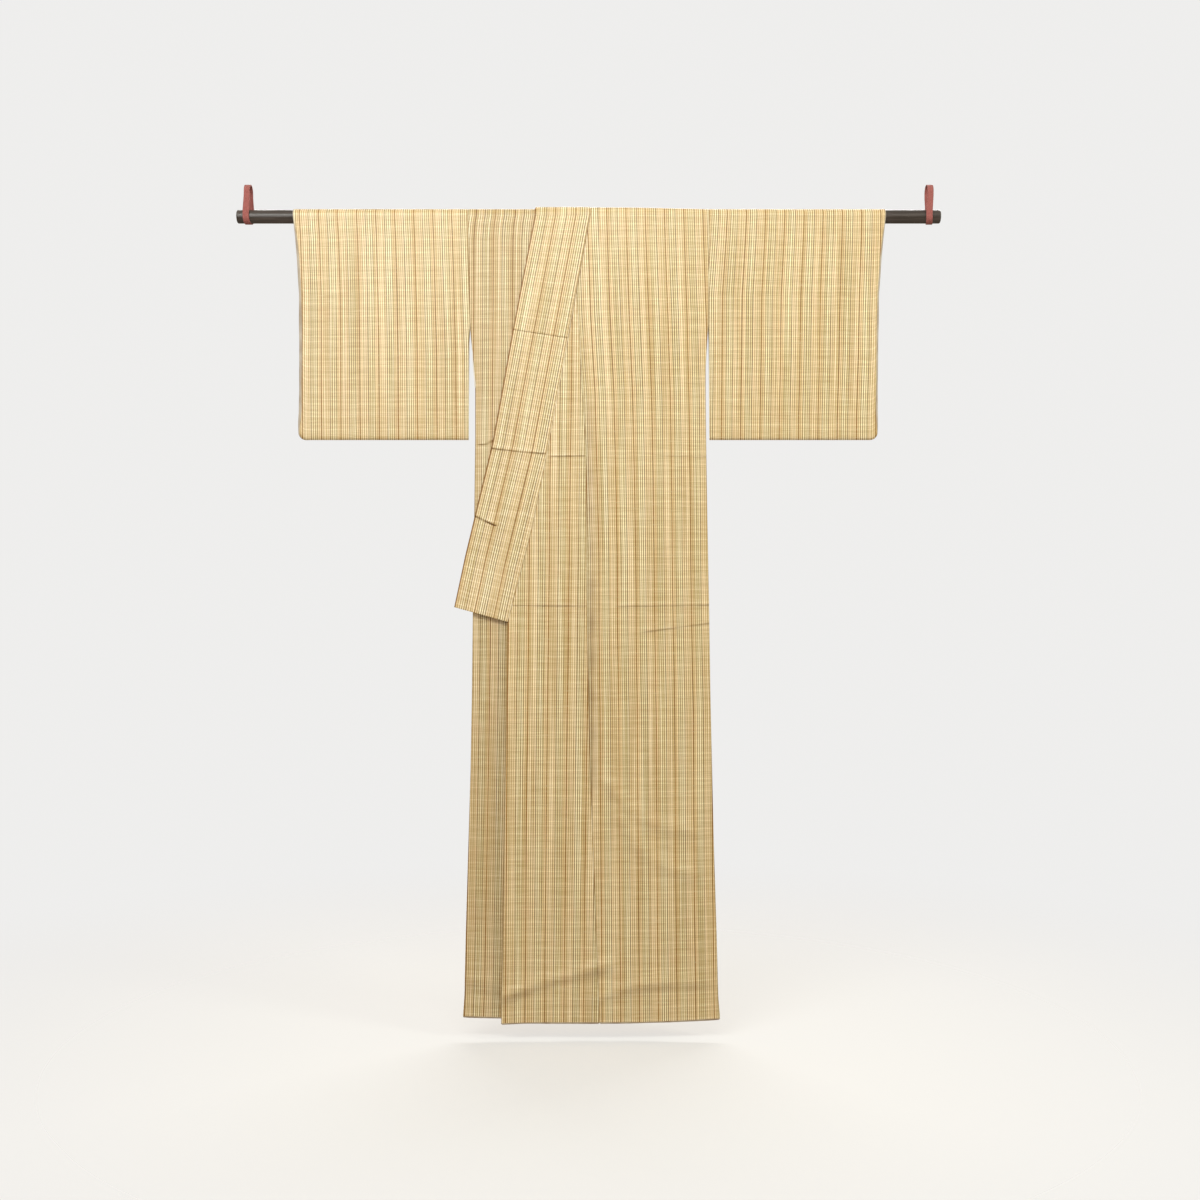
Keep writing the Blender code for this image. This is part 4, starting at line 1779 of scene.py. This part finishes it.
    def roll_fullness(self, drop: Array) -> Array:
        """How full the roll at the sleeve's mouth is: thin over the rod and at the foot."""
        full = ease(drop / self.roll_eases[0]) * ease((SLEEVE_DROP - drop) / self.roll_eases[1])
        return self.roll_least + (1 - self.roll_least) * full


@dataclass
class SideOpening:
    """The cream lining that curls out of the right side opening, below the armhole."""

    finish: bpy.types.Material
    half_width: float = 1.5
    half_depth: float = 0.7
    top_share: float = 0.25
    steps: int = 32
    rounding: int = 4
    line: Table = field(default_factory=lambda: table(
        "drop x depth", (262, -232.8, 5.9), (291, -231.9, 5.4), (307, -230.4, 4.9),
        (331, -228.1, 4.0), (345, -227.4, 3.2)))

    def build(self) -> bpy.types.Object:
        """Make the curl: it stands a little past the edge, then turns back in at its end.

        Returns:
            The curl, dressed.
        """
        drop = np.linspace(self.line["drop"][0], self.line["drop"][-1], self.steps)
        line = np.stack([read(self.line, "x", drop), -read(self.line, "depth", drop), -drop], -1)
        share = np.linspace(self.top_share, 1, self.steps)[:, None] \
            * tapered(self.steps, self.rounding)
        item = tube("side_opening_lining", line, share * (self.half_width, 0, 0),
                    share * (0, self.half_depth, 0), self.finish)
        return dress(item, "silk")


# ---- Rod and straps ----


@dataclass
class Rod:
    """The round lacquered rod."""

    finish: bpy.types.Material
    half_length: float = 705.0
    rim: float = 2.6
    rim_steps: int = 8
    sides: int = 96
    rings: int = 60
    sharp_angle: float = math.radians(50)

    def build(self) -> bpy.types.Object:
        """Make the rod: a circle carried along X, its radius rounding off at both rims.

        Returns:
            The rod.
        """
        turn = np.linspace(0, math.pi / 2, self.rim_steps + 1)
        even = np.linspace(0, self.half_length - self.rim, self.rings)[:-1]
        x = np.concatenate([even, self.half_length - self.rim * (1 - np.sin(turn))])
        cut_back = np.concatenate([0 * even, self.rim * (1 - np.cos(turn))])
        x = np.concatenate([-x[:0:-1], x])[:, None]
        radius = ROD_RADIUS - np.concatenate([cut_back[:0:-1], cut_back])[:, None]
        item = tube("rod_lacquered", x * (1, 0, 0), radius * (0, 1, 0), radius * (0, 0, 1),
                    self.finish, self.sides)
        item.data.set_sharp_from_angle(angle=self.sharp_angle)
        return dress(item, "lacquer", "rod")


@dataclass
class Strap:
    """A flat tape that carries one end of the rod: a long loop with a little twist in it.

    Its middle lies half_gap off the rod and half_top below its top. skew is how far the
    twist moves it at the rod, and waist how much narrower it is at the top.
    """

    side: Side
    finish: bpy.types.Material
    x: float = 683.0
    width: float = 12.6
    wall: float = 1.7
    half_gap: float = 1.3
    half_top: float = 1.0
    top: float = 64.0
    skew: float = 2.2
    waist: float = 0.06
    columns: int = 8
    steps: int = 28
    climb_steps: int = 13

    def loop(self, radius: float, rise: float) -> Array:
        """The loop from the side: half a turn under the rod, up, half a turn, and down.

        Args:
            radius: its half width.
            rise: how far apart its two turns' middles lie.

        Returns:
            The depth and height of each point round it.
        """
        turn = np.linspace(0, math.pi, self.steps + 1)
        climb = np.linspace(0, rise, self.climb_steps + 1)[1:-1]
        under = np.stack([radius * np.cos(turn), -radius * np.sin(turn)], 1)
        up = np.stack([np.full(len(climb), -radius), climb], 1)
        return np.concatenate([under, up, (0, rise) - under, (0, rise) - up])

    def build(self) -> bpy.types.Object:
        """The front strand leans one way and the back strand the other, more so near the rod.

        Returns:
            The strap.
        """
        radius = ROD_RADIUS + self.half_gap
        rise = self.top - self.half_top - radius
        loop = self.loop(radius, rise)
        share = np.linspace(-0.5, 0.5, self.columns + 1)[None, :]
        climbed = ease(loop[:, 1:] / rise)
        lean = self.skew * loop[:, :1] / radius * (1 - climbed)
        x = self.side.sign * self.x + lean + self.width * share * (1 - self.waist * climbed)
        points = np.stack(np.broadcast_arrays(x, loop[:, :1], loop[:, 1:]), -1).reshape(-1, 3)
        number = np.arange(x.size).reshape(x.shape)
        quads = cells(np.concatenate([number, number[:1]]).T).reshape(-1, 4)
        middle = np.array((self.side.sign * self.x, 0, rise / 2))
        if faces_in(points, quads, points[quads[:, 0]] - middle):
            quads = quads[:, ::-1]
        cut = np.broadcast_arrays(share * self.width, run_along(loop)[:, None])
        name = f"strap_{self.side.value}"
        item = add_mesh(f"{name}_tape", points, quads.tolist(), [self.finish],
                        np.stack(cut, -1).reshape(-1, 2))
        give_wall(item, self.wall, lined=False)
        dress(item, "strap", name)
        length = 2 * math.pi * radius + 2 * rise
        self.width * METRES
        length * METRES
        return item


# ---- Studio ----


@dataclass(frozen=True)
class Lamp:
    """A soft oblong light: where it hangs, what it points at, its size, watts and colour."""

    name: str
    place: tuple[float, float, float]
    aim: tuple[float, float, float]
    size: tuple[float, float]
    power: float
    colour: tuple[float, float, float] = (1.0, 1.0, 1.0)

    def hang(self) -> None:
        """Hang it in the scene, tilted and turned from straight down to its aim."""
        data = bpy.data.lights.new(self.name, "AREA")
        data.color, data.energy, data.shape = self.colour, self.power, "RECTANGLE"
        data.size, data.size_y = self.size
        light = bpy.data.objects.new(self.name, data)
        light.location = self.place
        right, ahead, up = np.subtract(self.aim, self.place)
        tilt = math.atan2(math.hypot(right, ahead), -up)
        light.rotation_euler = (tilt, 0, math.atan2(-right, ahead))
        bpy.context.collection.objects.link(light)


LAMPS = (
    Lamp("key", (2.3, -1.4, 0.4), (0.0, 0.0, -0.6), (0.7, 0.7), 23, (0.96, 1.0, 0.9)),
    Lamp("fill", (-1.2, -2.4, 0.1), (0.0, 0.0, -0.6), (1.2, 1.2), 14),
    Lamp("strip", (-0.65, -2.2, 1.0), (-0.1, 0.0, -0.15), (3.2, 0.6), 49, (0.97, 1.0, 0.96)),
    Lamp("back", (0.3, 2.0, 1.2), (0.0, 0.0, 0.1), (3.4, 0.6), 66),
    Lamp("top", (0.0, 0.5, 2.6), (0.0, 0.5, -1.6), (6.0, 6.0), 40),
)


@dataclass
class Studio:
    """A pale floor, soft light and the camera, in metres."""

    floor_z: float = -1.650
    floor_radius: float = 7.0
    floor_sides: int = 96
    camera: tuple[float, float, float] = (0.0226, -3.011, -0.7692)
    lens: float = 45.0
    sensor: float = 36.0
    clips: tuple[float, float] = (0.05, 60.0)
    world: float = 0.26
    world_colour: tuple[float, ...] = (1.0, 0.80, 0.56, 1.0)
    backdrop: tuple[float, ...] = (0.86, 0.855, 0.845, 1.0)

    def lay_floor(self) -> None:
        """A round floor of one face."""
        turn = np.linspace(0, 2 * math.pi, self.floor_sides, endpoint=False)
        ring = np.stack([self.floor_radius * np.cos(turn), self.floor_radius * np.sin(turn),
                         np.full(len(turn), self.floor_z)], -1) / METRES
        floor = add_mesh("floor", ring, [list(range(len(turn)))], [StudioPaper().make()])
        floor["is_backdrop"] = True

    def set_world(self) -> None:
        """Even warm light from all round, before a plain near-white backdrop."""
        world = bpy.data.worlds.new("studio")
        world.use_nodes = True
        tree = world.node_tree
        glow = tree.nodes["Background"]
        glow.inputs["Color"].default_value = self.world_colour
        glow.inputs["Strength"].default_value = self.world
        backdrop = tree.nodes.new("ShaderNodeBackground")
        backdrop.inputs["Color"].default_value = self.backdrop
        path = tree.nodes.new("ShaderNodeLightPath")
        chosen = tree.nodes.new("ShaderNodeMixShader")
        tree.links.new(path.outputs["Is Camera Ray"], chosen.inputs["Fac"])
        tree.links.new(glow.outputs["Background"], chosen.inputs[1])
        tree.links.new(backdrop.outputs["Background"], chosen.inputs[2])
        tree.links.new(chosen.outputs["Shader"], tree.nodes["World Output"].inputs["Surface"])
        bpy.context.scene.world = world

    def set_camera(self) -> None:
        """A level camera that looks along +Y."""
        data = bpy.data.cameras.new("camera")
        data.lens, data.sensor_width = self.lens, self.sensor
        data.clip_start, data.clip_end = self.clips
        camera = bpy.data.objects.new("camera", data)
        camera.location = self.camera
        camera.rotation_euler = (math.pi / 2, 0, 0)
        bpy.context.collection.objects.link(camera)
        bpy.context.scene.camera = camera

    def build(self) -> None:
        """Set the whole studio up."""
        bpy.context.scene.view_settings.view_transform = "Standard"
        self.set_camera()
        self.lay_floor()
        self.set_world()
        for lamp in LAMPS:
            lamp.hang()


# ---- All of it ----


def corners() -> list[list[float]]:
    """The shown object's lowest and highest corners."""
    return [[float(v) for v in corner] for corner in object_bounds()]


def make_garment() -> None:
    """Build the kimono's pieces from its finishes."""
    # The under front's silk has painted shade over all of it
    silks = {Side.RIGHT: StripedSilk("silk_under", shade=0.9, seed=5.0).make(),
             Side.LEFT: StripedSilk("silk_over", seed=0.0).make()}
    sleeve_silks = {Side.RIGHT: StripedSilk("silk_sleeve_right", seed=9.0).make(),
                    Side.LEFT: StripedSilk("silk_sleeve_left", seed=14.0).make()}
    collar_silk = StripedSilk("silk_collar", seed=21.0).make()
    linings = {part: LiningSilk(part).make() for part in LiningPart}
    for panel in (BodyPanel, OverlapPanel):
        for side in Side:
            panel(side, silks[side], linings[LiningPart.BODY],
                  linings[LiningPart.HEM_ROLL]).build()
    CollarBand("collar_left", collar_silk, COLLAR_END_DROP, 1.0, LEFT_COLLAR, COLLAR_WALL,
               (0.114, 0.88), "body_left_silk").build()
    CollarBand("collar_right", collar_silk, COLLAR_END_DROP, 0.5, UNDER_COLLAR, COLLAR_WALL,
               (0.057, 0.88), "body_right_silk", mirror=True).build()
    CollarBand("over_collar", collar_silk, OVER_COLLAR_DROP, 1.0, TOP_COLLAR,
               OVER_COLLAR_WALL, (0.112, 0.33), "collar_left_silk", end_dip=0.45).build()
    for side in Side:
        Sleeve(side, sleeve_silks[side], linings[LiningPart.SLEEVE],
               linings[LiningPart.WRIST_ROLL]).build()
    SideOpening(linings[LiningPart.CREAM_ROLL]).build()


def main() -> None:
    """Build the garment, the rod and straps and the studio."""
    logging.basicConfig(level=logging.INFO, format="%(message)s")
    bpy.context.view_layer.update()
    make_garment()
    Rod(Lacquer().make()).build()
    tape = TapeCloth().make()
    for side in Side:
        Strap(side, tape).build()
    Studio().build()


if __name__ == "__main__":
    main()
